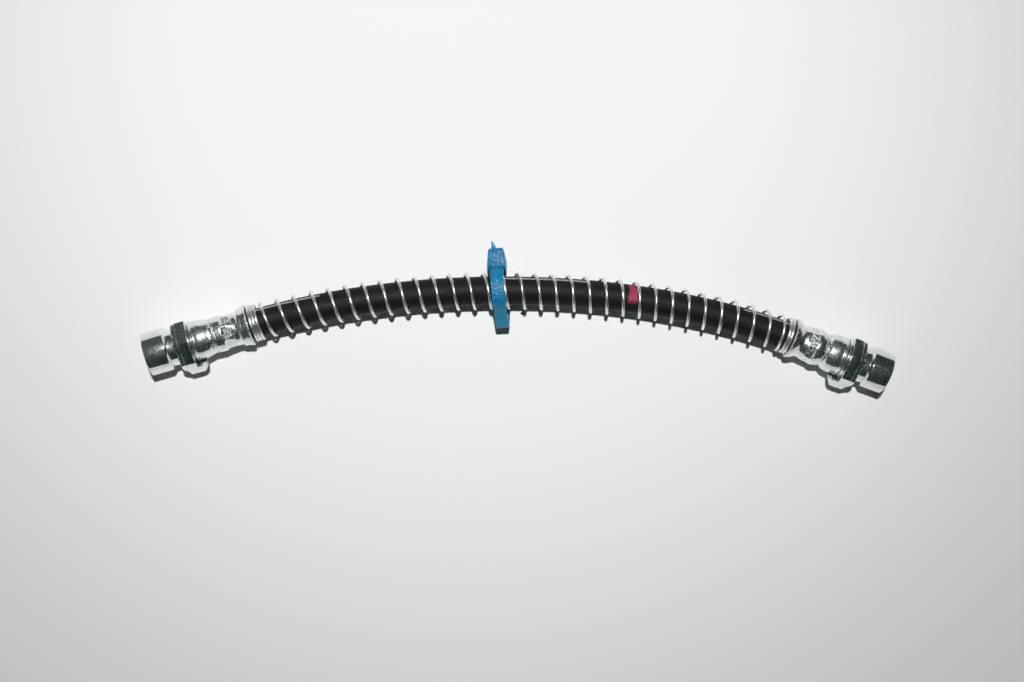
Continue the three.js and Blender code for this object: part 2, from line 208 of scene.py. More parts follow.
def shell_from_grid(
    name: str, grid: np.ndarray, closed: bool, uv: np.ndarray | None = None
) -> bpy.types.Object:
    """Makes a closed mesh of a grid of points in metres. Rows that don't close on each other are
    capped by one many-sided face at each end.

    Args:
        name: The object's name.
        grid: Points, rows by columns by 3.
        closed: Whether the last row joins the first.
        uv: Where given, map coordinates of rows by (columns + 1) by 2, so that the seam has its own.

    Returns:
        The new object, with its faces pointing outwards.
    """
    rows, columns = grid.shape[:2]
    quads = grid_faces(rows, columns, closed)
    faces = quads.tolist()
    if not closed:
        faces.append(list(range(columns)))
        faces.append(list(range((rows - 1) * columns, rows * columns)))
    mesh = bpy.data.meshes.new(name)
    mesh.from_pydata(grid.reshape(-1, 3).tolist(), [], faces)
    if uv is not None:
        layer = mesh.uv_layers.new(name="UVMap")
        i = np.arange(rows if closed else rows - 1)[:, None]
        j = np.arange(columns)[None, :]
        below = (i + 1) % rows
        corners = [uv[i, j], uv[i, j + 1], uv[below, j + 1], uv[below, j]]
        values = np.zeros((len(mesh.loops), 2))
        stacked = np.stack(corners, axis=2).reshape(-1, 2)
        values[: len(stacked)] = stacked
        layer.data.foreach_set("uv", values.astype(np.float32).ravel())
    return finished_object(name, mesh)


def finished_object(name: str, mesh: bpy.types.Mesh) -> bpy.types.Object:
    """Links a closed mesh as an object, with its faces turned outwards.

    Args:
        name: The object's name.
        mesh: A closed mesh.

    Returns:
        The new object, at the origin.
    """
    work = bmesh.new()
    work.from_mesh(mesh)
    bmesh.ops.recalc_face_normals(work, faces=work.faces)
    work.to_mesh(mesh)
    work.free()
    made = bpy.data.objects.new(name, mesh)
    bpy.context.scene.collection.objects.link(made)
    return made


def shade(made: bpy.types.Object, crease_degrees: float) -> None:
    """Shades a mesh smooth, with edges that turn by more than an angle kept crisp.

    Args:
        made: The object.
        crease_degrees: The angle.
    """
    made.data.shade_smooth()
    made.data.set_sharp_from_angle(angle=math.radians(crease_degrees))


def applied(made: bpy.types.Object) -> bpy.types.Object:
    """Bakes an object's modifiers into its mesh.

    Args:
        made: The object.

    Returns:
        The same object, with no modifiers left.
    """
    bpy.context.view_layer.update()
    evaluated = made.evaluated_get(bpy.context.evaluated_depsgraph_get())
    mesh = bpy.data.meshes.new_from_object(evaluated)
    mesh.name = made.name
    made.modifiers.clear()
    made.data = mesh
    return made


def bevelled(made: bpy.types.Object, width: float, segments: int = 2) -> bpy.types.Object:
    """Rounds an object's edges.

    Args:
        made: The object.
        width: The rounding's width in millimetres.
        segments: Faces across the rounding.

    Returns:
        The same object, with the rounding in its mesh.
    """
    bevel = made.modifiers.new("edges", "BEVEL")
    bevel.width = width * MM
    bevel.segments = segments
    bevel.limit_method = "ANGLE"
    bevel.angle_limit = BEVELLED_FROM
    return applied(made)


def combined(base: bpy.types.Object, tool: bpy.types.Object, operation: str) -> bpy.types.Object:
    """Joins or cuts one closed mesh with another, which is then removed.

    Args:
        base: The object that stays.
        tool: The object that is joined on or cut away.
        operation: UNION or DIFFERENCE.

    Returns:
        The base, with the result in its mesh.
    """
    step = base.modifiers.new("combine", "BOOLEAN")
    step.operation = operation
    step.solver = "EXACT"
    step.object = tool
    applied(base)
    bpy.data.objects.remove(tool)
    return base


def outfit(
    made: bpy.types.Object, material: bpy.types.Material, slot: str, *nodes: str
) -> bpy.types.Object:
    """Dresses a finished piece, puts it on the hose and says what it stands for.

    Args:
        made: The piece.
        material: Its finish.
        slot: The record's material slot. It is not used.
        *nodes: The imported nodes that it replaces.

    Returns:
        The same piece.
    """
    made.data.materials.clear()
    made.data.materials.append(material)
    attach(made, BODY)
    if nodes:
        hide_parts(*nodes)
    stands_for = ", ".join(nodes) or "itself"
    LOG.info("%s: %d faces, stands for %s", made.name, len(made.data.polygons), stands_for)
    return made


# Finishes


class NodeBench:
    """A new material, and short ways to add and link its nodes."""

    def __init__(self, name: str) -> None:
        """Starts a material.

        Args:
            name: The material's name.
        """
        self.material = bpy.data.materials.new(name)
        self.material.use_nodes = True
        self.tree = self.material.node_tree
        self.tree.nodes.clear()
        self.output = self.add("ShaderNodeOutputMaterial")
        self.surface = self.add("ShaderNodeBsdfPrincipled")
        self.link(self.surface, "BSDF", self.output, "Surface")

    def add(self, kind: str, **settings: object) -> bpy.types.Node:
        """Adds a node.

        Args:
            kind: The node's type.
            **settings: Properties of the node, or socket values under their names with
                underscores for blanks.

        Returns:
            The node.
        """
        node = self.tree.nodes.new(kind)
        for name, value in settings.items():
            if hasattr(node, name):
                setattr(node, name, value)
            else:
                node.inputs[name.replace("_", " ")].default_value = value
        return node

    def link(self, source: bpy.types.Node, out: str | int, target: bpy.types.Node, into: str | int) -> None:
        """Links one node's socket to another's.

        Args:
            source: The node that gives.
            out: Its output's name or number.
            target: The node that takes.
            into: Its input's name or number.
        """
        self.tree.links.new(source.outputs[out], target.inputs[into])

    def place(self, turn: float = 0.0, zero: float = 0.0) -> bpy.types.Node:
        """Object coordinates in millimetres, turned round the vertical.

        Args:
            turn: The direction in radians, from +X, that becomes the pattern's X.
            zero: Where the pattern's X starts along that direction.

        Returns:
            The node that gives them as Vector.
        """
        source = self.add("ShaderNodeTexCoord")
        mapping = self.add("ShaderNodeMapping")
        mapping.inputs["Location"].default_value = (-zero, 0.0, 0.0)
        mapping.inputs["Rotation"].default_value = (0.0, 0.0, -turn)
        mapping.inputs["Scale"].default_value = (1 / MM, 1 / MM, 1 / MM)
        self.link(source, "Object", mapping, "Vector")
        return mapping

    def noise(self, place: bpy.types.Node, scale: Place | float, detail: float = 3.0) -> bpy.types.Node:
        """Noise over a place.

        Args:
            place: A node with a Vector output, in millimetres.
            scale: Cycles in a millimetre, along each axis or along all.
            detail: How many finer layers it has.

        Returns:
            The noise node.
        """
        stretch = self.add("ShaderNodeVectorMath", operation="MULTIPLY")
        stretch.inputs[1].default_value = scale if isinstance(scale, tuple) else (scale,) * 3
        self.link(place, 0, stretch, 0)
        noise = self.add("ShaderNodeTexNoise", Scale=1.0, Detail=detail)
        self.link(stretch, 0, noise, "Vector")
        return noise

    def spread(
        self, source: bpy.types.Node, low: float, high: float, to_low: float = 0.0, to_high: float = 1.0
    ) -> bpy.types.Node:
        """Maps a value from one span to another, clamped.

        Args:
            source: The node whose first output is the value.
            low: Start of the span that comes in.
            high: End of the span that comes in.
            to_low: Start of the span that goes out.
            to_high: End of the span that goes out.

        Returns:
            The node that gives Result.
        """
        node = self.add("ShaderNodeMapRange")
        ends = {"From Min": low, "From Max": high, "To Min": to_low, "To Max": to_high}
        for name, value in ends.items():
            node.inputs[name].default_value = value
        self.link(source, 0, node, "Value")
        return node

    def calculate(
        self, operation: str, first: bpy.types.Node, second: bpy.types.Node | float
    ) -> bpy.types.Node:
        """Combines two values, or a value and a number.

        Args:
            operation: The Math node's operation.
            first: The node whose first output is the first value.
            second: Another node, or a number.

        Returns:
            The Math node.
        """
        node = self.add("ShaderNodeMath", operation=operation)
        self.link(first, 0, node, 0)
        if isinstance(second, bpy.types.Node):
            self.link(second, 0, node, 1)
        else:
            node.inputs[1].default_value = second
        return node

    def times(self, first: bpy.types.Node, second: bpy.types.Node) -> bpy.types.Node:
        """The product of two values."""
        return self.calculate("MULTIPLY", first, second)

    def plus(self, first: bpy.types.Node, second: bpy.types.Node) -> bpy.types.Node:
        """The sum of two values."""
        return self.calculate("ADD", first, second)

    def greater(self, first: bpy.types.Node, second: bpy.types.Node) -> bpy.types.Node:
        """The greater of two values."""
        return self.calculate("MAXIMUM", first, second)

    def band(self, value: bpy.types.Node, low: float, high: float, soft: float) -> bpy.types.Node:
        """A share that is 1 inside a span and 0 outside it, with soft ends.

        Args:
            value: The node whose first output is the place.
            low: Start of the span.
            high: End of the span.
            soft: Length of each soft end.

        Returns:
            The node that gives the share.
        """
        rise = self.spread(value, low - soft / 2, low + soft / 2)
        fall = self.spread(value, high - soft / 2, high + soft / 2, 1.0, 0.0)
        return self.times(rise, fall)

    def tint(self, share: bpy.types.Node, low: Colour, high: Colour) -> bpy.types.Node:
        """A colour between two, by a value.

        Args:
            share: The node whose first output is the share of the second colour.
            low: The colour at 0.
            high: The colour at 1.

        Returns:
            A colour ramp node.
        """
        ramp = self.add("ShaderNodeValToRGB")
        ramp.color_ramp.elements[0].color = (*low, 1.0)
        ramp.color_ramp.elements[1].color = (*high, 1.0)
        self.link(share, 0, ramp, "Fac")
        return ramp

    def mix(self, share: bpy.types.Node, below: bpy.types.Node, above: bpy.types.Node) -> bpy.types.Node:
        """Lays one colour over another.

        Args:
            share: The node whose first output is how much of the upper colour shows.
            below: The node whose first output is the lower colour.
            above: The node whose first output is the upper colour.

        Returns:
            A node whose first output is the colour.
        """
        node = self.add("ShaderNodeMixRGB")
        self.link(share, 0, node, "Fac")
        self.link(below, 0, node, "Color1")
        self.link(above, 0, node, "Color2")
        return node

    def bump(
        self, height: bpy.types.Node, depth: float, under: bpy.types.Node | None = None
    ) -> bpy.types.Node:
        """A bump of a height that goes from 0 to 1.

        Args:
            height: The node whose first output is the height.
            depth: What a height of 1 stands for, in millimetres.
            under: Another bump that this one lies on.

        Returns:
            The bump node.
        """
        node = self.add("ShaderNodeBump", Strength=1.0, Distance=depth * MM)
        self.link(height, 0, node, "Height")
        if under is not None:
            self.link(under, 0, node, "Normal")
        self.link(node, 0, self.surface, "Normal")
        return node


@dataclass(frozen=True)
class ZincFinish:
    """Bright zinc on turned and crimped steel: fine rings from the lathe, soft unevenness of the
    plated skin and a faint green cast. Where tools scuffed it, it is duller in patches. The
    pattern's X is the distance from the fitting's end face."""

    name: str
    turn: float
    zero: float
    scuffs: tuple[Band, ...]
    pale: Colour = (0.86, 0.90, 0.885)
    dull: Colour = (0.76, 0.80, 0.785)
    cloud_scale: float = 0.35
    cloud_levels: Span = (0.35, 0.65)
    roughness: Span = (0.07, 0.15)
    streak_scale: Place = (5.0, 0.5, 0.5)
    pit_scale: float = 7.0
    pit_level: float = 0.67
    pit_edge: float = 0.02
    pit_roughness: float = 0.38
    ring_pitch: float = 0.22
    ring_drift: float = 0.02
    ring_depth: float = 0.0035
    skin_depth: float = 0.012
    skin_scale: float = 0.55
    scuff_scale: Place = (1.5, 1.2, 1.2)
    scuff_levels: Span = (0.62, 0.72)
    scuff_gain: float = 0.3
    scuff_soft: float = 0.5
    scuff_roughness: float = 0.52
    scuff_grain: float = 1.6
    scuff_depth: float = 0.02

    def worn(self, bench: NodeBench, place: bpy.types.Node) -> bpy.types.Node:
        """Where the skin is scuffed: flecks of a noise that pass a level, inside the bands.

        Args:
            bench: The material in work.
            place: The pattern's coordinates.

        Returns:
            The node that gives the share of wear.
        """
        split = bench.add("ShaderNodeSeparateXYZ")
        bench.link(place, 0, split, "Vector")
        fleck = bench.noise(place, self.scuff_scale, 4.0)
        patches = []
        for start, end, cover in self.scuffs:
            low, high = (level - self.scuff_gain * cover for level in self.scuff_levels)
            inside = bench.band(split, start, end, self.scuff_soft)
            patches.append(bench.times(bench.spread(fleck, low, high), inside))
        worn = patches[0]
        for patch in patches[1:]:
            worn = bench.greater(worn, patch)
        return worn

    def make(self) -> bpy.types.Material:
        """Builds the material.

        Returns:
            The material.
        """
        bench = NodeBench(self.name)
        place = bench.place(self.turn, self.zero)
        cloud = bench.spread(bench.noise(place, self.cloud_scale), *self.cloud_levels)
        bench.link(bench.tint(cloud, self.dull, self.pale), 0, bench.surface, "Base Color")
        streak = bench.noise(place, self.streak_scale, 4.0)
        smooth = bench.spread(streak, *NOISE_SPAN, *self.roughness)
        speckle = bench.noise(place, self.pit_scale, 0.0)
        low, high = self.pit_level - self.pit_edge, self.pit_level + self.pit_edge
        rough = bench.greater(smooth, bench.spread(speckle, low, high, 0.0, self.pit_roughness))
        worn = self.worn(bench, place)
        rougher = bench.add("ShaderNodeMath", operation="MULTIPLY_ADD", use_clamp=True)
        bench.link(worn, 0, rougher, 0)
        rougher.inputs[1].default_value = self.scuff_roughness - self.roughness[0]
        bench.link(rough, 0, rougher, 2)
        bench.link(rougher, 0, bench.surface, "Roughness")
        bench.surface.inputs["Metallic"].default_value = 1.0
        skin = bench.bump(bench.noise(place, self.skin_scale, 2.0), self.skin_depth)
        grain = bench.times(bench.noise(place, self.scuff_grain), worn)
        scuffed = bench.bump(grain, self.scuff_depth, skin)
        rings = bench.noise(place, (1.0 / self.ring_pitch, self.ring_drift, self.ring_drift), 2.0)
        bench.bump(rings, self.ring_depth, scuffed)
        return bench.material


@dataclass(frozen=True)
class WireFinish:
    """Drawn spring wire, plated bright, with a duller bloom in places."""

    name: str = "spring_wire"
    pale: Colour = (0.90, 0.91, 0.90)
    dull: Colour = (0.66, 0.66, 0.65)
    bloom_scale: float = 0.8
    bloom_levels: Span = (0.3, 0.6)
    roughness: Span = (0.24, 0.42)
    mark_scale: Place = (9.0, 2.0, 2.0)
    mark_depth: float = 0.004

    def make(self) -> bpy.types.Material:
        """Builds the material.

        Returns:
            The material.
        """
        bench = NodeBench(self.name)
        place = bench.place()
        bloom = bench.noise(place, self.bloom_scale, 4.0)
        share = bench.spread(bloom, *self.bloom_levels)
        bench.link(bench.tint(share, self.dull, self.pale), 0, bench.surface, "Base Color")
        bench.link(bench.spread(bloom, *NOISE_SPAN, *self.roughness[::-1]), 0, bench.surface, "Roughness")
        bench.surface.inputs["Metallic"].default_value = 1.0
        bench.bump(bench.noise(place, self.mark_scale, 2.0), self.mark_depth)
        return bench.material


@dataclass(frozen=True)
class RubberFinish:
    """Black hose rubber. A fine pale line runs along it with gaps, and a crimson paint mark is
    brushed across it. The map's U is millimetres along the hose, its V the angle as a share of a
    turn, with 0.5 on top and the way of the bow above that. Angles here are in degrees from the top.
    """

    line_spans: tuple[Span, ...]
    mark_span: Span
    name: str = "hose_rubber"
    black: Colour = (0.0040, 0.0046, 0.0046)
    worn: Colour = (0.0090, 0.0110, 0.0102)
    line_colour: Colour = (0.34, 0.35, 0.34)
    mark_colour: Colour = (0.36, 0.045, 0.085)
    line_angles: Span = (51.5, 62.5)
    line_soft: float = 2.5
    line_end: float = 0.6
    rub_levels: Span = (0.25, 0.45)
    least_ink: float = 0.55
    mark_angles: Span = (-16.0, 70.0)
    mark_soft: float = 14.0
    mark_end: float = 0.5
    fray: float = 0.35
    fray_angle: float = 7.0
    paint_thin: float = 0.72
    paint_thick: float = 1.25
    streak_scale: Place = (3.5, 0.5, 0.5)
    streak_levels: Span = (0.3, 0.55)
    least_paint: float = 0.45
    cloud_scale: float = 0.22
    cloud_levels: Span = (0.35, 0.75)
    ragged_scale: float = 1.2
    roughness: Span = (0.52, 0.68)
    shine: float = 0.20
    grain_scale: float = 2.6
    grain_depth: float = 0.03

    def line(
        self, bench: NodeBench, along: bpy.types.Node, angle: bpy.types.Node, ragged: bpy.types.Node
    ) -> bpy.types.Node:
        """Where the pale line shows.

        Args:
            bench: The material in work.
            along: The node whose first output is the distance along the hose.
            angle: The node whose first output is the angle from the top.
            ragged: Noise that wears it.

        Returns:
            The node that gives the share of the line.
        """
        runs = [bench.band(along, low, high, self.line_end) for low, high in self.line_spans]
        shown = runs[0]
        for run in runs[1:]:
            shown = bench.greater(shown, run)
        line = bench.times(bench.band(angle, *self.line_angles, self.line_soft), shown)
        return bench.times(line, bench.spread(ragged, *self.rub_levels, self.least_ink, 1.0))

    def mark(
        self, bench: NodeBench, along: bpy.types.Node, angle: bpy.types.Node, ragged: bpy.types.Node
    ) -> bpy.types.Node:
        """Where the paint mark shows: a patch with frayed edges.

        Args:
            bench: The material in work.
            along: The node whose first output is the distance along the hose.
            angle: The node whose first output is the angle from the top.
            ragged: Noise that frays it.

        Returns:
            The node that gives the share of the paint, before its streaks.
        """
        frayed = bench.plus(along, bench.spread(ragged, *NOISE_SPAN, -self.fray, self.fray))
        turned = bench.spread(ragged, *NOISE_SPAN, -self.fray_angle, self.fray_angle)
        mark = bench.band(frayed, *self.mark_span, self.mark_end)
        return bench.times(mark, bench.band(bench.plus(angle, turned), *self.mark_angles, self.mark_soft))

    def make(self) -> bpy.types.Material:
        """Builds the material.

        Returns:
            The material.
        """
        bench = NodeBench(self.name)
        place = bench.place()
        source = bench.add("ShaderNodeTexCoord")
        along = bench.add("ShaderNodeSeparateXYZ")
        bench.link(source, "UV", along, "Vector")
        angle = bench.add("ShaderNodeMath", operation="MULTIPLY_ADD")
        bench.link(along, "Y", angle, 0)
        angle.inputs[1].default_value = 360.0
        angle.inputs[2].default_value = -180.0
        ragged = bench.noise(place, self.ragged_scale, 5.0)

        cloud = bench.noise(place, self.cloud_scale, 4.0)
        base = bench.tint(bench.spread(cloud, *self.cloud_levels), self.black, self.worn)
        line = self.line(bench, along, angle, ragged)
        base = bench.mix(line, base, bench.tint(ragged, self.line_colour, self.line_colour))

        streaks = bench.noise(place, self.streak_scale)
        brushed = bench.spread(streaks, *self.streak_levels, self.least_paint, 1.0)
        mark = bench.times(self.mark(bench, along, angle, ragged), brushed)
        thin = tuple(self.paint_thin * c for c in self.mark_colour)
        thick = tuple(self.paint_thick * c for c in self.mark_colour)
        base = bench.mix(mark, base, bench.tint(streaks, thin, thick))

        bench.link(base, 0, bench.surface, "Base Color")
        bench.link(bench.spread(cloud, *NOISE_SPAN, *self.roughness), 0, bench.surface, "Roughness")
        bench.surface.inputs["Specular IOR Level"].default_value = self.shine
        bench.bump(bench.noise(place, self.grain_scale, 5.0), self.grain_depth)
        return bench.material


@dataclass(frozen=True)
class NylonFinish:
    """Blue moulded nylon: slightly cloudy, with the mould's fine grain. The strap's slack loop has a
    painted paler tone for how its slope catches the light, and painted_light_span is where that starts and
    ends across the hose."""

    name: str = "tie_nylon"
    deep: Colour = (0.003, 0.155, 0.34)
    light: Colour = (0.006, 0.215, 0.41)
    # Painted lighter tone of the slack loop, standing in for how its slope catches the light.
    lobe_painted_light: Colour = (0.030, 0.22, 0.35)
    painted_light_span: Span = (3.6, 0.4)
    cloud_scale: float = 0.45
    roughness: Span = (0.10, 0.22)
    shine: float = 0.36
    glow_share: float = 0.12
    glow_reach: Place = (0.0004, 0.0008, 0.0016)
    grain_scale: float = 1.5
    grain_depth: float = 0.34

    def make(self) -> bpy.types.Material:
        """Builds the material.

        Returns:
            The material.
        """
        bench = NodeBench(self.name)
        place = bench.place()
        cloud = bench.noise(place, self.cloud_scale)
        colour = bench.tint(bench.spread(cloud, *NOISE_SPAN), self.deep, self.light)
        split = bench.add("ShaderNodeSeparateXYZ")
        bench.link(place, 0, split, "Vector")
        # Share of the painted lighter tone: it fades in across the hose towards the slack loop.
        share = bench.spread(split, self.painted_light_span[1], self.painted_light_span[0], 1.0, 0.0)
        bench.link(split, "Y", share, "Value")
        colour = bench.mix(share, colour, bench.tint(cloud, self.lobe_painted_light, self.lobe_painted_light))
        bench.link(colour, 0, bench.surface, "Base Color")
        bench.link(bench.spread(cloud, *NOISE_SPAN, *self.roughness), 0, bench.surface, "Roughness")
        bench.surface.inputs["Specular IOR Level"].default_value = self.shine
        bench.surface.inputs["Subsurface Weight"].default_value = self.glow_share
        bench.surface.inputs["Subsurface Radius"].default_value = self.glow_reach
        bench.bump(bench.noise(place, self.grain_scale), self.grain_depth)
        return bench.material


# Where things lie


class Placement:
    """Where a fitting sits. Its own frame has X from the end face towards the hose, and its key
    on the lowest corner until the roll turns it to the side."""

    mount_rise: float = 6.35
    key_flank: float = math.radians(60)

    def __init__(self, side: Side) -> None:
        """Reads the fitting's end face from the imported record.

        Args:
            side: Which end of the hose.
        """
        mounts = {mount["name"]: mount for mount in frame["record"]["mounts"]}
        mount = mounts[f"{side.value}_end_face"]
        self.face = np.array(mount["pos_m"]) / MM - (0.0, 0.0, self.mount_rise)
        self.axis = -np.array(mount["axis"], float)
        self.turn = math.atan2(self.axis[1], self.axis[0])
        self.zero = float(self.face @ self.axis)
        roll = -self.key_flank if side is Side.LEFT else self.key_flank
        turned = Matrix.Rotation(self.turn, 3, "Z") @ Matrix.Rotation(roll, 3, "X")
        self.rotation = np.array(turned)

    def to_frame(self, points: np.ndarray) -> np.ndarray:
        """Carries points from the fitting's own frame to the model's.

        Args:
            points: Any array of points whose last axis is X, Y, Z in millimetres.

        Returns:
            The same points in metres.
        """
        return (points @ self.rotation.T + self.face) * MM

    def along(self, distance: float) -> np.ndarray:
        """A point on the axis.

        Args:
            distance: Millimetres from the end face.

        Returns:
            The point in millimetres.
        """
        return self.face + self.axis * distance


class Route:
    """The hose's centreline: straight in each fitting and one cubic Bezier curve between the lips,
    whose handles are as long as bow_handle."""

    bow_handle: float = 64.0
    samples: int = 2000
    look_ahead: float = 0.5

    def __init__(
        self, left: Placement, right: Placement, fitting_length: float, hose_start: float
    ) -> None:
        """Lays the route between two fittings.

        Args:
            left: The left fitting's place.
            right: The right fitting's place.
            fitting_length: From an end face to its ferrule's lip.
            hose_start: From an end face to the hose's own end.
        """
        control = np.array([
            left.along(fitting_length),
            left.along(fitting_length + self.bow_handle),
            right.along(fitting_length + self.bow_handle),
            right.along(fitting_length),
        ])
        t = np.linspace(0.0, 1.0, self.samples)[:, None]
        powers = np.hstack([(1 - t) ** 3, 3 * (1 - t) ** 2 * t, 3 * (1 - t) * t**2, t**3])
        self.free = powers @ control
        steps = np.linalg.norm(np.diff(self.free, axis=0), axis=1)
        self.free_reach = np.concatenate([[0.0], np.cumsum(steps)])
        self.free_length = float(self.free_reach[-1])
        self.tucked = fitting_length - hose_start
        self.length = self.free_length + 2 * self.tucked
        self.line = np.vstack([left.along(hose_start), self.free, right.along(hose_start)])
        self.reach = np.concatenate([[0.0], self.tucked + self.free_reach, [self.length]])

    def at(self, distance: np.ndarray) -> np.ndarray:
        """Points on the centreline.

        Args:
            distance: Millimetres from the hose's left end.

        Returns:
            The points in millimetres.
        """
        return np.stack([np.interp(distance, self.reach, self.line[:, k]) for k in range(3)], axis=-1)

    def sideways(self, distance: np.ndarray) -> np.ndarray:
        """The level direction across the hose, on the side that it bows to.

        Args:
            distance: Millimetres from the hose's left end.

        Returns:
            Unit vectors.
        """
        ahead = self.at(np.clip(distance + self.look_ahead, 0, self.length))
        back = self.at(np.clip(distance - self.look_ahead, 0, self.length))
        tangent = ahead - back
        tangent /= np.linalg.norm(tangent, axis=-1, keepdims=True)
        return np.stack([-tangent[..., 1], tangent[..., 0], np.zeros_like(tangent[..., 0])], axis=-1)

    def where_x(self, x: float) -> float:
        """How far along the hose a place is that has a given X.

        Args:
            x: The place's X in millimetres.

        Returns:
            Millimetres from the hose's left end.
        """
        return float(np.interp(x, self.line[:, 0], self.reach))


# Sub-assemblies


@dataclass
class Fitting:
    """End fitting: a turned head, neck, collar and spigot with a keyed hexagon flange. Its socket
    has a fine M10 thread. collar_lengths are the left and the right fitting's."""

    side: Side
    place: Placement
    material: bpy.types.Material
    head_radius: float = 8.0
    head_length: float = 8.2
    head_edge: float = 0.4
    shoulder: float = 0.8
    neck_radius: float = 6.75
    neck_length: float = 3.1
    mouth_radius: float = 5.1
    socket_radius: float = 4.45
    socket_depth: float = 12.0
    passage_radius: float = 1.5
    thread_pitch: float = 1.0
    thread_depth: float = 0.54
    thread_steepness: float = 1.3
    thread_flat: float = 0.12
    thread_start: Span = (0.7, 1.4)
    thread_stop: Span = (2.6, 1.6)
    wall_steps: int = 150
    hex_across: float = 16.0
    hex_length: float = 5.3
    land_step: float = 0.3
    land_length: float = 1.5
    land_edge: float = 0.14
    hex_edge: float = 0.16
    key_root: float = 3.0
    key_reach: float = 10.9
    key_tip_length: float = 5.2
    key_overhang: float = 1.9
    key_ramp: float = 0.4
    key_sunk: float = 0.02
    key_edge: float = 0.28
    key_foot: float = 3.8
    foot_inside: float = 3.0
    foot_edge: float = 0.15
    key_eaves: float = 7.3
    key_hollow: float = 7.72
    hollow_length: float = 6.0
    collar_radius: float = 7.7
    collar_step: float = 0.2
    collar_lengths: Span = (0.4, 1.3)
    collar_round: float = 0.45
    spigot_radius: float = 4.6
    spigot_length: float = 5.0
    insert_radius: float = 2.2
    insert_seat: float = 4.6
    mouth_edge: float = 0.12
    shoulder_edges: Span = (0.15, 0.12)
    neck_edge: float = 0.18
    step_edge: float = 0.1
    fine_edge: float = 0.05
    collar_edge: float = 0.2
    collar_slope: float = 0.3
    crisp_degrees: float = 28.0
    columns: int = 144
    flange_start: float = field(init=False)
    flange_end: float = field(init=False)
    collar_end: float = field(init=False)
    spigot_end: float = field(init=False)

    def __post_init__(self) -> None:
        """Works out the stations along the axis."""
        self.flange_start = self.head_length + self.neck_length
        self.flange_end = self.flange_start + self.hex_length
        self.collar_end = self.flange_end + self.collar_lengths[self.side is Side.RIGHT]
        self.spigot_end = self.flange_end + self.spigot_length

    def turned_outline(self) -> np.ndarray:
        """The turned body's closed outline of distance and radius, outside first and then back
        through the socket, whose wall has steps fine enough for the thread.

        Returns:
            The outline's points.
        """
        shoulder_end = self.head_length + self.shoulder / 2
        collar_start = self.flange_end - self.collar_round
        step_radius = self.collar_radius - self.collar_step
        seat_start = self.spigot_end - self.insert_seat
        outside = eased_outline([
            (0.0, self.mouth_radius, self.mouth_edge),
            (0.0, self.head_radius, self.head_edge),
            (self.head_length - self.shoulder / 2, self.head_radius, self.shoulder_edges[0]),
            (shoulder_end, self.head_radius - self.shoulder, self.shoulder_edges[1]),
            (shoulder_end, self.neck_radius, self.neck_edge),
            (self.flange_start - self.step_edge, self.neck_radius, self.step_edge),
            (collar_start, self.neck_radius, 0.0),
            (collar_start, step_radius, 0.0),
            (self.flange_end - self.step_edge, step_radius, self.fine_edge),
            (self.flange_end + self.fine_edge, self.collar_radius, self.fine_edge),
            (self.collar_end - self.collar_slope, self.collar_radius, self.fine_edge),
            (self.collar_end, self.collar_radius - self.collar_round, self.collar_edge),
            (self.collar_end, self.spigot_radius, self.step_edge),
            (self.spigot_end, self.spigot_radius, self.step_edge),
            (self.spigot_end, self.insert_radius, 0.0),
            (seat_start, self.insert_radius, 0.0),
            (seat_start, self.passage_radius, 0.0),
        ])
        seat = (self.socket_radius - self.passage_radius) / math.sqrt(3)
        wall = np.linspace(self.socket_depth, self.mouth_radius - self.socket_radius, self.wall_steps)
        socket = np.stack([wall, np.full_like(wall, self.socket_radius)], axis=1)
        return np.vstack([outside, [[self.socket_depth + seat, self.passage_radius]], socket])

    def thread(self, along: np.ndarray, radius: np.ndarray, angle: np.ndarray) -> np.ndarray:
        """How far the thread's groove stands out from the socket's core: a V whose depth follows
        the distance to the nearest crest of along / pitch + angle / turn, faded in at both ends.

        Args:
            along: Distances from the end face.
            radius: Radii of the outline there.
            angle: Angles round the axis.

        Returns:
            What to add to the radius.
        """
        wall = (np.abs(radius - self.socket_radius) < 1e-6) & (along < self.socket_depth)
        phase = (along / self.thread_pitch + angle / (2 * math.pi)) % 1.0
        ridge = 1.0 - np.abs(2.0 * phase - 1.0)
        groove = np.clip(self.thread_steepness * ridge - self.thread_flat, 0.0, 1.0)
        stop, end = (self.socket_depth - before for before in self.thread_stop)
        fade = smoothstep(*self.thread_start, along) * (1.0 - smoothstep(stop, end, along))
        return np.where(wall, groove * fade * self.thread_depth, 0.0)

    def body(self) -> bpy.types.Object:
        """The turned body: each point of the outline is carried round the axis.

        Returns:
            The body as a closed mesh.
        """
        outline = self.turned_outline()
        angle = np.arange(self.columns) * 2 * math.pi / self.columns
        along, radius = outline[:, :1], outline[:, 1:]
        radius = radius + self.thread(along, radius, angle[None, :])
        grid = self.place.to_frame(round_axis(along, radius, angle))
        return shell_from_grid(f"{self.side.value}_fitting_body", grid, True)

    def prism(self, name: str, across: float, start: float, end: float) -> bpy.types.Object:
        """A hexagonal prism with a corner up, round the axis.

        Args:
            name: The object's name.
            across: Across its flats.
            start: Distance of its first face.
            end: Distance of its last face.

        Returns:
            The prism as a closed mesh.
        """
        angle = math.pi / 6 + np.arange(6) * math.pi / 3
        rings = round_axis(np.array([[start], [end]]), across / math.sqrt(3), angle)
        return shell_from_grid(name, self.place.to_frame(rings), False)

    def disc(self, name: str, radius: float, start: float, end: float) -> bpy.types.Object:
        """A plain disc round the axis.

        Args:
            name: The object's name.
            radius: Its radius.
            start: Distance of its first face.
            end: Distance of its last face.

        Returns:
            The disc as a closed mesh.
        """
        angle = np.arange(self.columns) * 2 * math.pi / self.columns
        rings = round_axis(np.array([[start], [end]]), radius, angle)
        return shell_from_grid(name, self.place.to_frame(rings), False)

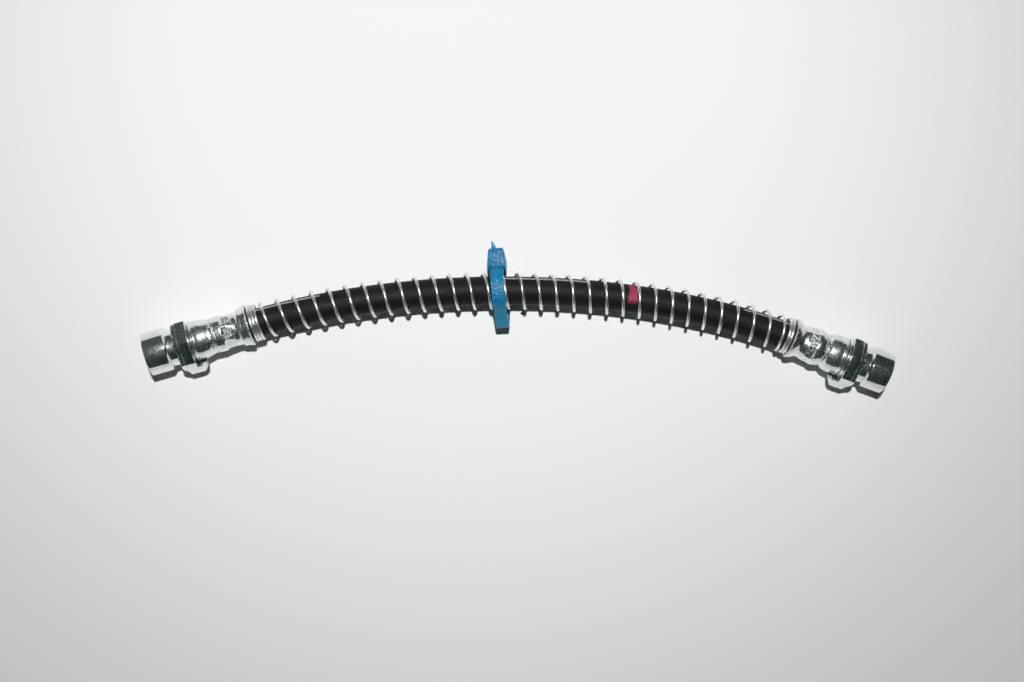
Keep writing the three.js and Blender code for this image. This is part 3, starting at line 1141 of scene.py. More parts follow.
    def key(self, foot: bool) -> bpy.types.Object:
        """The key on the lowest corner, or its foot below the ferrule's ring: a stack of rectangles,
        each narrower than the one above it because the flanks taper.

        Args:
            foot: Whether to make the foot.

        Returns:
            The key as a closed mesh.
        """
        root_half = self.hex_across / 2
        root_depth = self.hex_across / math.sqrt(3) / 2
        land_depth = self.hex_across / math.sqrt(3) - self.land_step
        tip_end = self.flange_end + self.key_overhang
        tip_start = tip_end - self.key_tip_length
        depths = np.array([self.key_root, root_depth, self.neck_radius, land_depth, self.key_reach])
        fronts = [self.flange_start, tip_start - self.key_ramp, tip_start]
        starts = np.interp(depths, [self.neck_radius, land_depth, self.key_reach], fronts)
        ends = np.full_like(depths, self.flange_end - self.key_sunk)
        if foot:
            foot_end = self.flange_end + self.key_foot
            depths = np.array([self.key_eaves, self.key_hollow + self.key_ramp, self.key_reach])
            starts = np.full_like(depths, tip_end - self.foot_inside)
            ends = np.array([foot_end, foot_end, tip_end])
        taper = np.maximum(depths - root_depth, 0.0) / math.tan(Placement.key_flank)
        halves = root_half - taper
        across = np.stack([-halves, halves, halves, -halves], axis=1)
        along = np.stack([starts, starts, ends, ends], axis=1)
        down = np.repeat(-depths[:, None], 4, axis=1)
        rings = np.stack([along, across, down], axis=-1)
        return shell_from_grid(f"{self.side.value}_key", self.place.to_frame(rings), False)

    def build(self) -> bpy.types.Object:
        """Makes the fitting as one piece.

        Returns:
            The dressed piece.
        """
        name = self.side.value
        made = self.body()
        land_across = self.hex_across - 2 * self.land_step
        land = self.prism(f"{name}_land", land_across, self.flange_start, self.flange_end - 1)
        flange_front = self.flange_start + self.land_length
        flange = self.prism(f"{name}_hexagon", self.hex_across, flange_front, self.flange_end)
        hollow_end = self.flange_end + self.hollow_length
        hollow = self.disc(f"{name}_hollow", self.key_hollow, self.flange_end, hollow_end)
        key = bevelled(self.key(False), self.key_edge, 3)
        foot = combined(bevelled(self.key(True), self.foot_edge), hollow, "DIFFERENCE")
        for part in (bevelled(flange, self.hex_edge), bevelled(land, self.land_edge), key, foot):
            combined(made, part, "UNION")
        shade(made, self.crisp_degrees)
        return outfit(made, self.material, "fitting_steel", f"{name}_fitting")


@dataclass
class Ferrule:
    """Crimped sleeve: a drawn cup with a rolled ring, two bulges, jaw marks before its waist and a
    flared lip. Each bulge is a station as a share of the length, and a girth as a share of the
    ring's radius. The jaws' turns, starts and radii are the left and the right sleeve's."""

    side: Side
    place: Placement
    material: bpy.types.Material
    start: float
    end: float = 38.75
    wall: float = 1.1
    base_wall: float = 1.5
    hole_radius: float = 4.9
    ring_radius: float = 7.65
    ring_at: float = 0.6
    ring_length: float = 1.35
    ring_groove: float = 0.37
    left_bulges: tuple[Span, ...] = (
        (0.144, 0.965), (0.24, 0.912), (0.332, 0.85), (0.387, 0.865), (0.5, 0.889), (0.57, 0.868),
        (0.66, 0.832), (0.74, 0.812), (0.812, 0.828), (0.848, 0.912), (0.9, 0.935), (0.95, 0.972),
    )
    right_bulges: tuple[Span, ...] = (
        (0.144, 0.967), (0.24, 0.941), (0.303, 0.895), (0.356, 0.791), (0.413, 0.85), (0.5, 0.908),
        (0.587, 0.889), (0.697, 0.85), (0.793, 0.79), (0.846, 0.82), (0.899, 0.9), (0.952, 0.967),
    )
    lip_drop: float = 0.06
    lip_roll: tuple[Span, ...] = ((0.09, 0.18), (0.15, 0.38), (0.18, 0.7))
    lip_back: float = 0.12
    jaws: int = 8
    jaw_turns: Span = (math.radians(20), 0.0)
    jaw_starts: Span = (11.9, 11.4)
    jaw_length: float = 4.0
    jaw_radii: Span = (6.0, 6.2)
    jaw_soft: float = 0.5
    jaw_lift: float = 0.8
    jaw_crease: float = 0.08
    wrinkle_depth: float = 0.07
    wrinkle_seeds: Span = (1.3, 4.1)
    crease_station: float = 0.35
    crease_reach: float = 1.6
    waist_station: float = 0.66
    waist_reach: float = 2.6
    crisp_degrees: float = 40.0
    columns: int = 240

    @property
    def length(self) -> float:
        """The sleeve's length."""
        return self.end - self.start

    def stations(self) -> np.ndarray:
        """The outline's stations.

        Returns:
            Distance from the sleeve's base and outer radius, one row each.
        """
        base = self.ring_radius - self.ring_groove
        ring = [(0.0, base), (self.ring_at, self.ring_radius), (self.ring_length, base)]
        bulges = self.left_bulges if self.side is Side.LEFT else self.right_bulges
        body = [(share * self.length, girth * self.ring_radius) for share, girth in bulges]
        return np.array([*ring, *body, (self.length, self.ring_radius)])

    def inner_radius(self, at: np.ndarray) -> np.ndarray:
        """Radius of the sleeve's inside.

        Args:
            at: Distances from the sleeve's base.

        Returns:
            The radii.
        """
        curve = spline_through(self.stations(), 8)
        return np.interp(at, curve[:, 0], curve[:, 1]) - self.wall

    def wrinkles(self, along: np.ndarray, angle: np.ndarray) -> np.ndarray:
        """Fine folds that the dies left in the crease, round the jaws and before the lip: waves
        along the sleeve whose phase wanders round it.

        Args:
            along: Distances from the sleeve's base, one column.
            angle: Angles round the axis, one row.

        Returns:
            What to add to the radius.
        """
        seed = self.wrinkle_seeds[self.side is Side.RIGHT]
        # The waves' counts and shares are chosen so that the folds are as uneven as pressed steel.
        wander = 1.4 * np.sin(3 * angle + seed) + 0.8 * np.sin(7 * angle + 2 * seed)
        folds = np.sin(4.6 * along + wander) + 0.6 * np.sin(7.9 * along - 1.7 * wander + seed)
        patches = 0.5 + 0.5 * np.sin(5 * angle + 0.9 * along + 3 * seed)
        from_crease = (along - self.crease_station * self.length) / self.crease_reach
        from_waist = (along - self.waist_station * self.length) / self.waist_reach
        near = np.exp(-(from_crease**2)) + 0.6 * np.exp(-(from_waist**2))
        return self.wrinkle_depth * near * folds * patches

    def squeezed(self, along: np.ndarray, angle: np.ndarray, radius: np.ndarray) -> np.ndarray:
        """The outside where the jaws gripped: the lesser of the drawn radius and the jaws' flats,
        each flat being the jaws' radius / cos(angle from its middle), with a rounded crease.

        Args:
            along: Distances from the sleeve's base, one column.
            angle: Angles round the axis, one row.
            radius: The drawn radii, rows by columns.

        Returns:
            The radii, with those beyond the jaws' reach as they were.
        """
        right = self.side is Side.RIGHT
        step = 2 * math.pi / self.jaws
        from_middle = (angle - self.jaw_turns[right] + step / 2) % step - step / 2
        jaw_start = self.jaw_starts[right]
        jaw_end = jaw_start + self.jaw_length
        grip = smoothstep(jaw_start - self.jaw_soft, jaw_start + self.jaw_soft, along)
        grip = grip * (1.0 - smoothstep(jaw_end - self.jaw_soft, jaw_end + self.jaw_soft, along))
        flats = self.jaw_radii[right] / np.cos(from_middle) + self.jaw_lift * (1.0 - grip)
        return np.where(grip > 0, smooth_minimum(radius, flats, self.jaw_crease), radius)

    def build(self) -> bpy.types.Object:
        """Makes the sleeve: the closed outline of its outside, rolled lip, inside and base is
        carried round the axis, with the jaws' flats and the wrinkles on the outside.

        Returns:
            The dressed piece.
        """
        outer = spline_through(self.stations(), 10)
        inner_along = np.linspace(self.length, self.base_wall, 48)
        inner = np.stack([inner_along, self.inner_radius(inner_along)], axis=1)
        brim = outer[-1, 1]
        outer[-1, 1] = brim - self.lip_drop
        roll = np.array(self.lip_roll) * (1.0, -1.0) + (self.length, brim)
        back = [[self.length + self.lip_back, inner[0, 1] + self.lip_back]]
        base = np.array([[self.base_wall, self.hole_radius], [0.0, self.hole_radius]])
        outline = np.vstack([outer, roll, back, inner, base])
        angle = np.arange(self.columns) * 2 * math.pi / self.columns
        along, radius = outline[:, :1], np.repeat(outline[:, 1:], self.columns, axis=1)
        outside = np.arange(len(outline))[:, None] < len(outer)
        worked = self.squeezed(along, angle[None, :], radius) + self.wrinkles(along, angle[None, :])
        grid = round_axis(along + self.start, np.where(outside, worked, radius), angle)
        name = f"{self.side.value}_ferrule"
        made = shell_from_grid(f"{name}_sleeve", self.place.to_frame(grid), True)
        shade(made, self.crisp_degrees)
        return outfit(made, self.material, "ferrule_steel", name)


@dataclass
class Hose:
    """The rubber hose, with its bore, squeezed where the ferrules grip it."""

    route: Route
    ferrules: dict[Side, Ferrule]
    hose_start: float
    material: bpy.types.Material
    radius: float = 5.25
    bore_radius: float = 1.6
    clearance: float = CLEARANCE
    spread_radius: float = 2.2
    spread_length: float = 15.9
    jaw_margin: float = 1.5
    bore_step: float = 0.01
    path_points: int = 41
    crisp_degrees: float = 40.0
    rows: int = 420
    columns: int = 64

    def outer_radius(self, distance: np.ndarray) -> np.ndarray:
        """Outer radius: the hose's own, or what the sleeve leaves it.

        Args:
            distance: Millimetres from the hose's left end.

        Returns:
            The radii.
        """
        radius = np.full_like(distance, self.radius)
        for side, sleeve in self.ferrules.items():
            from_end = distance if side is Side.LEFT else self.route.length - distance
            in_sleeve = from_end + self.hose_start - sleeve.start
            room = sleeve.inner_radius(in_sleeve) - self.clearance
            jaws = sleeve.jaw_starts[side is Side.RIGHT]
            jaws_end = jaws + sleeve.jaw_length
            gripped = (in_sleeve > jaws - self.jaw_margin) & (in_sleeve < jaws_end + self.jaw_margin)
            squeezed = sleeve.jaw_radii[side is Side.RIGHT] - sleeve.wall - self.clearance
            room = np.where(gripped, np.minimum(room, squeezed), room)
            radius = np.where(in_sleeve < sleeve.length, np.minimum(room, radius), radius)
        return radius

    def build(self) -> bpy.types.Object:
        """Makes the hose: circles across the centreline, out along the outside and back along the
        bore, so that the wall is one closed surface.

        Returns:
            The dressed piece.
        """
        length = self.route.length
        out = np.linspace(0.0, length, self.rows)
        spread = self.spread_length
        back = np.concatenate([
            np.linspace(length, length - spread, 8),
            np.linspace(length - spread - self.bore_step, spread + self.bore_step, 120),
            np.linspace(spread, 0.0, 8),
        ])
        from_end = np.minimum(back, length - back)
        bore = np.where(from_end <= spread, self.spread_radius, self.bore_radius)
        distance = np.concatenate([out, back])
        radius = np.concatenate([self.outer_radius(out), bore])
        share = np.arange(self.columns + 1) / self.columns
        angle = (share - 0.5) * 2 * math.pi
        centre = self.route.at(distance)[:, None, :]
        side = self.route.sideways(distance)[:, None, :]
        around = angle[None, :-1, None]
        outward = side * np.sin(around) + UPWARDS * np.cos(around)
        grid = centre + radius[:, None, None] * outward
        uv = np.stack(np.broadcast_arrays(distance[:, None], share[None, :]), axis=-1)
        made = shell_from_grid("rubber_hose", grid * MM, True, uv)
        shade(made, self.crisp_degrees)
        return outfit(made, self.material, "rubber", "hose")

    def declare(self, made: bpy.types.Object) -> None:
        """Works out points along the hose's centreline, and does nothing with them.

        Args:
            made: The hose. It is not used.
        """
        path = self.route.at(np.linspace(0.0, self.route.length, self.path_points)) * MM


@dataclass
class SpringGuard:
    """The wire guard: a right-handed helix round the hose. Its end turns lie close, and each end
    opens over its own number of turns."""

    route: Route
    material: bpy.types.Material
    wire_radius: float = 0.55
    mean_radius: float = 6.4
    turns: float = 36.6
    start_angle: float = math.radians(-18)
    closed_pitch: float = 1.17
    left_turns: Span = (2.37, 1.0)
    right_turns: Span = (1.2, 2.06)
    slide: float = 0.6
    drift: float = 0.22
    clearance: float = CLEARANCE
    end_widths: Place = (0.55, 0.87, 1.0)
    crisp_degrees: float = 50.0
    steps_per_turn: int = 48
    sides: int = 14

    def travel(self, turns: np.ndarray, closed: float, spread: float, opening: float) -> np.ndarray:
        """How far the wire has come from a lip. It starts at the closed pitch and opens by the
        integral of 3x^2 - 2x^3.

        Args:
            turns: Turns from the wire's end.
            closed: How many turns stay closed.
            spread: Over how many turns it opens.
            opening: What the open pitch is more than the closed one.

        Returns:
            Millimetres from the lip.
        """
        share = np.clip((turns - closed) / spread, 0.0, None)
        opened = spread * np.where(share > 1.0, share - 0.5, share**3 - share**4 / 2)
        return self.clearance + self.wire_radius + self.closed_pitch * turns + opening * opened

    def station(self, turns: np.ndarray) -> np.ndarray:
        """How far the wire has come along the free hose. Both ends open to the pitch that fills
        the length between, and the middle has slid a little to the right.

        Args:
            turns: Turns from the left end of the wire.

        Returns:
            Millimetres from the left lip.
        """
        length = self.route.free_length
        start = self.clearance + self.wire_radius
        still_closed = sum(closed + spread / 2 for closed, spread in (self.left_turns, self.right_turns))
        opening = (length - 2 * start - self.closed_pitch * self.turns) / (self.turns - still_closed)
        from_left = self.travel(turns, *self.left_turns, opening)
        from_right = length - self.travel(self.turns - turns, *self.right_turns, opening)
        even = np.where(turns <= self.turns / 2, from_left, from_right)
        middle = np.clip(even * (length - even), 0.0, None) / (length / 2) ** 2
        return even + self.slide * middle**2

    def build(self) -> bpy.types.Object:
        """Makes the guard: circles across the wire, whose line goes round the hose's centreline.

        Returns:
            The dressed piece.
        """
        turns = np.linspace(0.0, self.turns, round(self.turns * self.steps_per_turn) + 1)
        free = self.station(turns)
        distance = free + self.route.tucked
        angle = self.start_angle + 2 * math.pi * turns
        side = self.route.sideways(distance)
        drift = self.drift * np.cos(2 * math.pi * free / self.route.free_length)
        across = self.mean_radius * np.cos(angle) + drift
        line = self.route.at(distance) + side * across[:, None]
        line[:, 2] += self.mean_radius * np.sin(angle)
        tangent = np.gradient(line, axis=0)
        tangent /= np.linalg.norm(tangent, axis=1, keepdims=True)
        outward = side * np.cos(angle)[:, None] + UPWARDS * np.sin(angle)[:, None]
        outward -= tangent * np.sum(outward * tangent, axis=1, keepdims=True)
        outward /= np.linalg.norm(outward, axis=1, keepdims=True)
        binormal = np.cross(tangent, outward)
        width = np.ones(len(turns))
        width[: len(self.end_widths)] = self.end_widths
        width[-len(self.end_widths) :] = self.end_widths[::-1]
        around = (np.arange(self.sides) * 2 * math.pi / self.sides)[None, :, None]
        ring = outward[:, None, :] * np.cos(around) + binormal[:, None, :] * np.sin(around)
        grid = line[:, None, :] + ring * (self.wire_radius * width)[:, None, None]
        made = shell_from_grid("spring_wire", grid * MM, False)
        shade(made, self.crisp_degrees)
        return outfit(made, self.material, "spring_wire", "spring_guard")


@dataclass
class CableTie:
    """The blue tie: a toothed strap in a loose loop, its locking head and the stub of its tail.
    Its own frame has X across the strap and Y away from the hose's centre."""

    route: Route
    material: bpy.types.Material
    along: float = 0.4557
    lean: float = math.radians(6.6)
    roll: float = math.radians(-8)
    strap_width: float = 4.8
    strap_thickness: float = 1.2
    strap_edge: float = 0.28
    strap_route: tuple[Span, ...] = (
        (11.4, 0.8), (8.8, 2.9), (6.5, 5.7), (3.9, 7.6), (0.2, 8.35), (-4.4, 7.2),
        (-7.4, 4.6), (-10.2, 2.9), (-12.9, 1.4), (-13.2, -0.7), (-11.4, -4.2), (-9.4, -7.1),
        (-6.8, -8.38), (0, -8.38), (5.6, -7.5), (9, -4.4), (11, -1.2),
    )
    tooth_pitch: float = 1.1
    tooth_steps: int = 8
    tooth_depth: float = 0.32
    tooth_half_width: float = 1.55
    tooth_side: float = 0.05
    head_start: float = 7.7
    head_length: float = 8.0
    head_root_width: float = 6.8
    head_tip_width: float = 5.4
    head_thickness: float = 6.6
    head_stations: tuple[float, ...] = (0.0, 0.35, 0.55, 1.0)
    head_narrowing: float = 0.35
    head_thinning: Span = (0.6, 1.2)
    head_rise: float = 0.7
    head_edge: float = 0.7
    mouth: tuple[Span, Span, Span] = ((-2.6, 2.6), (-1.0, 1.3), (0.2, 4.6))
    exit_slot: tuple[Span, Span, Span] = ((-2.0, 2.0), (-1.0, 1.0), (-0.9, 0.9))
    stub_length: float = 3.0
    stub_inside: float = 1.4
    stub_short_side: float = 0.5
    stub_point: Span = (0.05, 0.25)
    stub_width: float = 1.7
    stub_offset: float = -0.7
    stub_edge: float = 0.1
    crisp_degrees: float = 35.0

    def to_frame(self, points: np.ndarray) -> np.ndarray:
        """Carries points from the tie's own frame to the model's.

        Args:
            points: Points in millimetres.

        Returns:
            The points in metres, before the tie is let down to the surface.
        """
        turned = Matrix.Rotation(self.lean, 3, "Z") @ Matrix.Rotation(self.roll, 3, "Y")
        centre = self.route.at(np.array(self.route.tucked + self.along * self.route.free_length))
        return (points @ np.array(turned).T + centre) * MM

    def strap(self) -> bpy.types.Object:
        """The strap: its section is carried along the loop, and the teeth on its inner face are a
        saw of the distance along it.

        Returns:
            The strap as a closed mesh.
        """
        coarse = spline_through(np.array(self.strap_route, float), 40)
        reach = np.concatenate([[0.0], np.cumsum(np.linalg.norm(np.diff(coarse, axis=0), axis=1))])
        distance = np.arange(0.0, reach[-1], self.tooth_pitch / self.tooth_steps)
        line = np.stack([np.interp(distance, reach, coarse[:, k]) for k in range(2)], axis=1)
        tangent = np.gradient(line, axis=0)
        tangent /= np.linalg.norm(tangent, axis=1, keepdims=True)
        normal = np.stack([-tangent[:, 1], tangent[:, 0]], axis=1)
        half, rise, edge = self.strap_width / 2, self.strap_thickness / 2, self.strap_edge
        brim = self.tooth_half_width
        tooth = brim - self.tooth_side
        section = eased_outline([
            (-half, -rise, edge), (half, -rise, edge), (half, rise, edge), (brim, rise, 0.0),
            (tooth, rise, 0.0), (-tooth, rise, 0.0), (-brim, rise, 0.0), (-half, rise, edge),
        ], 3)
        toothed = (np.abs(section[:, 0]) < brim - self.tooth_side / 2) & (section[:, 1] > 0)
        saw = (distance / self.tooth_pitch) % 1.0
        height = section[None, :, 1] - np.where(toothed[None, :], self.tooth_depth * saw[:, None], 0.0)
        across = np.broadcast_to(section[None, :, 0], height.shape)
        place = line[:, None, :] + normal[:, None, :] * height[:, :, None]
        grid = np.concatenate([across[:, :, None], place], axis=2)
        return shell_from_grid("tie_strap", self.to_frame(grid), False)

    def head(self) -> bpy.types.Object:
        """The locking head: a tapering block with eased edges, a mouth for the strap and a window
        over the pawl.

        Returns:
            The head as a closed mesh.
        """
        end = self.head_start + self.head_length
        stations = np.array(self.head_stations) * self.head_length + self.head_start
        root, thick = self.head_root_width, self.head_thickness
        thin_root, thin_tip = self.head_thinning
        halves = np.array([root, root, root - self.head_narrowing, self.head_tip_width]) / 2
        thickness = np.array([thick - thin_root, thick, thick, thick - thin_tip]) / 2
        across = np.stack([-halves, halves, halves, -halves], axis=1)
        up = np.stack([-thickness, -thickness, thickness, thickness], axis=1)
        rings = np.stack([across, np.repeat(stations[:, None], 4, axis=1), up + self.head_rise], axis=-1)
        head = bevelled(shell_from_grid("tie_head", self.to_frame(rings), False), self.head_edge, 4)
        combined(head, self.block("tie_mouth", self.mouth, self.head_start), "DIFFERENCE")
        return combined(head, self.block("tie_exit", self.exit_slot, end), "DIFFERENCE")

    def block(self, name: str, spans: tuple[Span, Span, Span], start: float) -> bpy.types.Object:
        """A plain block in the tie's frame.

        Args:
            name: The object's name.
            spans: Its spans across the strap, away from the hose and upwards.
            start: Where the second span is counted from.

        Returns:
            The block as a closed mesh.
        """
        (left, right), outward, (low, high) = spans
        ring = np.array([(left, 0.0, low), (right, 0.0, low), (right, 0.0, high), (left, 0.0, high)])
        rings = np.stack([ring + (0.0, start + y, 0.0) for y in outward])
        return shell_from_grid(name, self.to_frame(rings), False)

    def stub(self) -> bpy.types.Object:
        """The stub of the tail, cut off at a slant.

        Returns:
            The stub as a closed mesh.
        """
        end = self.head_start + self.head_length
        low, high = self.stub_offset - self.stub_width / 2, self.stub_offset + self.stub_width / 2
        root, tip = end - self.stub_inside, end + self.stub_length
        point_start, point_end = (low + inset for inset in self.stub_point)
        short = end + self.stub_short_side
        outline = np.array([(low, root), (high, root), (high, short), (point_end, tip), (point_start, tip)])
        half = self.strap_thickness / 2
        rings = np.stack([np.column_stack([outline, np.full(len(outline), z)]) for z in (-half, half)])
        return bevelled(shell_from_grid("tie_stub", self.to_frame(rings), False), self.stub_edge)

    def build(self) -> bpy.types.Object:
        """Makes the tie as one moulding and lets it down to the surface.

        Returns:
            The dressed piece.
        """
        made = self.strap()
        for part in (self.head(), self.stub()):
            combined(made, part, "UNION")
        made.name = made.data.name = "nylon_tie"
        lowest = min(vertex.co.z for vertex in made.data.vertices)
        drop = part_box("cable_tie")[0].z - lowest
        made.data.transform(Matrix.Translation((0.0, 0.0, drop)))
        shade(made, self.crisp_degrees)
        return outfit(made, self.material, "tie_nylon", "cable_tie")


# Light and camera


@dataclass(frozen=True)
class Studio:
    """A pale table, a lamp high over its far side and a dim room over the table. The camera looks at
    target; right, up and back are its own directions. Colours of the room go by the way that a ray
    leaves: by its height, from its front to its back, and in strength from its left to its right."""

    target: Place = (-3.99, -10.56, 9.3)
    right: Place = (0.99801, 0.02568, 0.05756)
    up: Place = (-0.02572, 0.99967, 0.0)
    back: Place = (-0.05755, -0.00148, 0.99834)
    distance: float = 550.6
    lens: float = 52.03
    sensor: float = 36.0
    seen_from: Span = (0.01, 50.0)
    lamp_place: Place = (-49.0, 220.0, 950.0)
    lamp_size: float = 40.0
    lamp_watts: float = 9.35
    paper: Colour = (0.87, 0.87, 0.87)
    # Painted falloff of light: the paper's colour darkens to this away from a middle under the lamp's side.
    paper_painted_falloff: Colour = (0.60, 0.60, 0.595)
    painted_light_middle: Place = (-19.0, 84.0, 0.0)
    painted_falloff_span: Span = (0.09, 0.33)
    paper_roughness: float = 0.9
    paper_shine: float = 0.1
    far_tone: Colour = (0.78, 0.78, 0.78)
    far_fade: Span = (0.22, 0.75)
    room_high: Colour = (0.040, 0.053, 0.050)
    room_front: Colour = (0.020, 0.033, 0.030)
    room_back: Colour = (0.056, 0.070, 0.069)
    room_rise: Span = (0.55, 0.98)
    room_depth: Span = (-0.8, 0.8)
    room_width: Span = (-0.9, 0.9)
    room_ends: Span = (0.62, 0.38)
    room_strengths: tuple[Span, ...] = ((0.42, 1.0), (0.64, 0.55))
    table_rings: tuple[float, ...] = (0.0, 300.0, 900.0, 6000.0, 6300.0)
    table_heights: tuple[float, ...] = (0.0, 0.0, 0.0, 0.0, 720.0)
    table_hub: float = 0.5
    table_columns: int = 96

    def camera(self) -> None:
        """Places the camera where the photograph was taken from."""
        data = bpy.data.cameras.new("camera")
        data.lens = self.lens
        data.sensor_width = self.sensor
        data.clip_start, data.clip_end = self.seen_from
        made = bpy.data.objects.new("camera", data)
        bpy.context.scene.collection.objects.link(made)
        place = np.array(self.target) + np.array(self.back) * self.distance
        columns = np.stack([self.right, self.up, self.back], axis=1)
        made.matrix_world = Matrix.Translation(place * MM) @ Matrix(columns.tolist()).to_4x4()
        bpy.context.scene.camera = made

    def lamp(self) -> None:
        """Places the lamp high over the far side of the table, aimed at the hose."""
        data = bpy.data.lights.new("lamp", "AREA")
        data.shape = "DISK"
        data.size = self.lamp_size * MM
        data.energy = self.lamp_watts
        made = bpy.data.objects.new("lamp", data)
        bpy.context.scene.collection.objects.link(made)
        place = Vector(self.lamp_place)
        aim = (place - Vector(self.target)).to_track_quat("Z", "Y").to_matrix().to_4x4()
        made.matrix_world = Matrix.Translation(place * MM) @ aim

    def room(self) -> None:
        """The dim room: its colour goes by the height and the way that a ray leaves."""
        world = bpy.data.worlds.new("room")
        bpy.context.scene.world = world
        world.use_nodes = True
        nodes, links = world.node_tree.nodes, world.node_tree.links
        background = nodes["Background"]
        source = nodes.new("ShaderNodeTexCoord")
        split = nodes.new("ShaderNodeSeparateXYZ")
        links.new(source.outputs["Generated"], split.inputs[0])

        def share(axis: str, span: Span) -> bpy.types.NodeSocket:
            """How far a ray's direction is along a span of one axis, from 0 to 1."""
            node = nodes.new("ShaderNodeMapRange")
            node.inputs["From Min"].default_value, node.inputs["From Max"].default_value = span
            links.new(split.outputs[axis], node.inputs["Value"])
            return node.outputs[0]

        low = nodes.new("ShaderNodeMixRGB")
        low.inputs["Color1"].default_value = (*self.room_front, 1.0)
        low.inputs["Color2"].default_value = (*self.room_back, 1.0)
        links.new(share("Y", self.room_depth), low.inputs["Fac"])
        colour = nodes.new("ShaderNodeMixRGB")
        colour.inputs["Color2"].default_value = (*self.room_high, 1.0)
        links.new(share("Z", self.room_rise), colour.inputs["Fac"])
        links.new(low.outputs[0], colour.inputs["Color1"])
        links.new(colour.outputs[0], background.inputs["Color"])
        sides = nodes.new("ShaderNodeFloatCurve")
        points = sides.mapping.curves[0].points
        points[0].location = (0.0, self.room_ends[0])
        points[1].location = (1.0, self.room_ends[1])
        for place, strength in self.room_strengths:
            points.new(place, strength)
        sides.mapping.update()
        links.new(share("X", self.room_width), sides.inputs["Value"])
        links.new(sides.outputs[0], background.inputs["Strength"])

    def table(self) -> None:
        """The table: a wide level disc whose rim rises a little. Near the hose the lamp lights it,
        and further out it shows its own pale colour to the eye and in reflections."""
        columns = self.table_columns
        radius = np.maximum(self.table_rings, self.table_hub)[:, None]
        height = np.array(self.table_heights)[:, None]
        angle = np.arange(columns) * 2 * math.pi / columns
        rings = np.broadcast_arrays(radius * np.cos(angle), radius * np.sin(angle), height)
        grid = np.stack(rings, axis=-1)
        mesh = bpy.data.meshes.new("table")
        faces = grid_faces(len(radius), columns, False).tolist() + [list(range(columns))]
        mesh.from_pydata((grid.reshape(-1, 3) * MM).tolist(), [], faces)
        made = bpy.data.objects.new("table", mesh)
        bpy.context.scene.collection.objects.link(made)
        made.data.shade_smooth()
        made.data.materials.append(self.paper_material())

    def paper_material(self) -> bpy.types.Material:
        """Pale paper whose colour is painted darker away from under the lamp, a painted falloff of the
        lamp's light, and further out shows a steady pale tone to camera, glossy and transmission rays.

        Returns:
            The material.
        """
        bench = NodeBench("paper")
        spot = bench.add("ShaderNodeTexCoord")

        def eased(middle: Place, span: Span) -> bpy.types.Node:
            """A smooth rise from 0 to 1 over a span of the distance from a place."""
            offset = bench.add("ShaderNodeVectorMath", operation="SUBTRACT")
            bench.link(spot, "Object", offset, 0)
            offset.inputs[1].default_value = tuple(c * MM for c in middle)
            far = bench.add("ShaderNodeVectorMath", operation="LENGTH")
            bench.link(offset, 0, far, 0)
            rise = bench.add("ShaderNodeMapRange", interpolation_type="SMOOTHSTEP")
            rise.inputs["From Min"].default_value, rise.inputs["From Max"].default_value = span
            bench.link(far, "Value", rise, "Value")
            return rise

        # Painted pool of light: the paper's colour is darker the further it lies from a middle under the
        # lamp's side.
        fade = eased(self.painted_light_middle, self.painted_falloff_span)
        bench.link(bench.tint(fade, self.paper, self.paper_painted_falloff), 0, bench.surface, "Base Color")
        bench.surface.inputs["Roughness"].default_value = self.paper_roughness
        bench.surface.inputs["Specular IOR Level"].default_value = self.paper_shine
        path = bench.add("ShaderNodeLightPath")
        seen = bench.add("ShaderNodeMath", operation="ADD", use_clamp=True)
        bench.link(path, "Is Camera Ray", seen, 0)
        bench.link(path, "Is Glossy Ray", seen, 1)
        seen_too = bench.add("ShaderNodeMath", operation="ADD", use_clamp=True)
        bench.link(seen, 0, seen_too, 0)
        bench.link(path, "Is Transmission Ray", seen_too, 1)
        share = bench.times(eased((0.0, 0.0, 0.0), self.far_fade), seen_too)
        glow = bench.add("ShaderNodeEmission")
        glow.inputs["Color"].default_value = (*self.far_tone, 1.0)
        blend = bench.add("ShaderNodeMixShader")
        bench.link(share, 0, blend, "Fac")
        bench.link(bench.surface, "BSDF", blend, 1)
        bench.link(glow, 0, blend, 2)
        bench.link(blend, 0, bench.output, "Surface")
        return bench.material

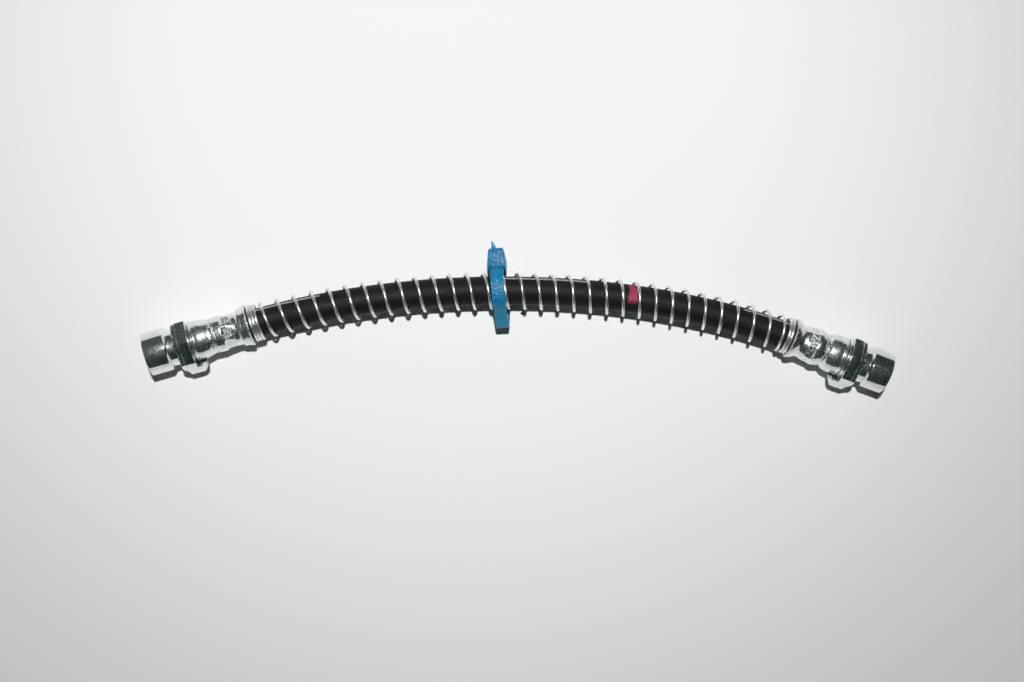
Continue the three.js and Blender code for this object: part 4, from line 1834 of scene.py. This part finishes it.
    def build(self) -> None:
        """Sets up the camera, the light and the table."""
        bpy.context.scene.view_settings.view_transform = "Standard"
        self.camera()
        self.lamp()
        self.room()
        self.table()


def forged_zinc(side: Side, place: Placement) -> bpy.types.Material:
    """The finish of a turned fitting and its insert."""
    return ZincFinish(f"{side.value}_zinc", place.turn, place.zero, FORGED_EDGES).make()


def crimped_zinc(side: Side, place: Placement) -> bpy.types.Material:
    """The finish of a sleeve, whose skin the dies left uneven and pitted."""
    return ZincFinish(
        f"{side.value}_crimped_zinc", place.turn, place.zero, CRIMP_SCUFFS[side],
        roughness=(0.09, 0.17), pit_level=0.595, pit_roughness=0.42,
        ring_depth=0.0015, skin_depth=0.045, skin_scale=0.45,
    ).make()


def main() -> None:
    """Builds the camera and light, then each sub-assembly in order."""
    logging.basicConfig(level=logging.INFO, format="%(name)s: %(message)s")
    Studio().build()
    places = {side: Placement(side) for side in Side}
    zinc = {side: forged_zinc(side, place) for side, place in places.items()}
    crimped = {side: crimped_zinc(side, place) for side, place in places.items()}
    fittings = {side: Fitting(side, places[side], zinc[side]) for side in Side}
    ferrules = {
        side: Ferrule(side, places[side], crimped[side], fittings[side].collar_end + CLEARANCE)
        for side in Side
    }
    hose_start = fittings[Side.LEFT].spigot_end + CLEARANCE
    route = Route(places[Side.LEFT], places[Side.RIGHT], ferrules[Side.LEFT].end, hose_start)

    middle_x = 0.5 * (places[Side.LEFT].face[0] + places[Side.RIGHT].face[0])
    *line_spans, mark_span = (
        tuple(route.where_x(middle_x + x) for x in span) for span in (*LINE_RUNS, PAINT_MARK)
    )
    rubber = RubberFinish(tuple(line_spans), mark_span).make()
    hose = Hose(route, ferrules, hose_start, rubber)
    hose.declare(hose.build())

    for side in Side:
        fittings[side].build()
        ferrules[side].build()
        insert = frame["nodes"][f"{side.value}_insert"]
        insert.data.materials.clear()
        insert.data.materials.append(zinc[side])
    SpringGuard(route, WireFinish().make()).build()
    CableTie(route, NylonFinish().make()).build()


if __name__ == "__main__":
    main()
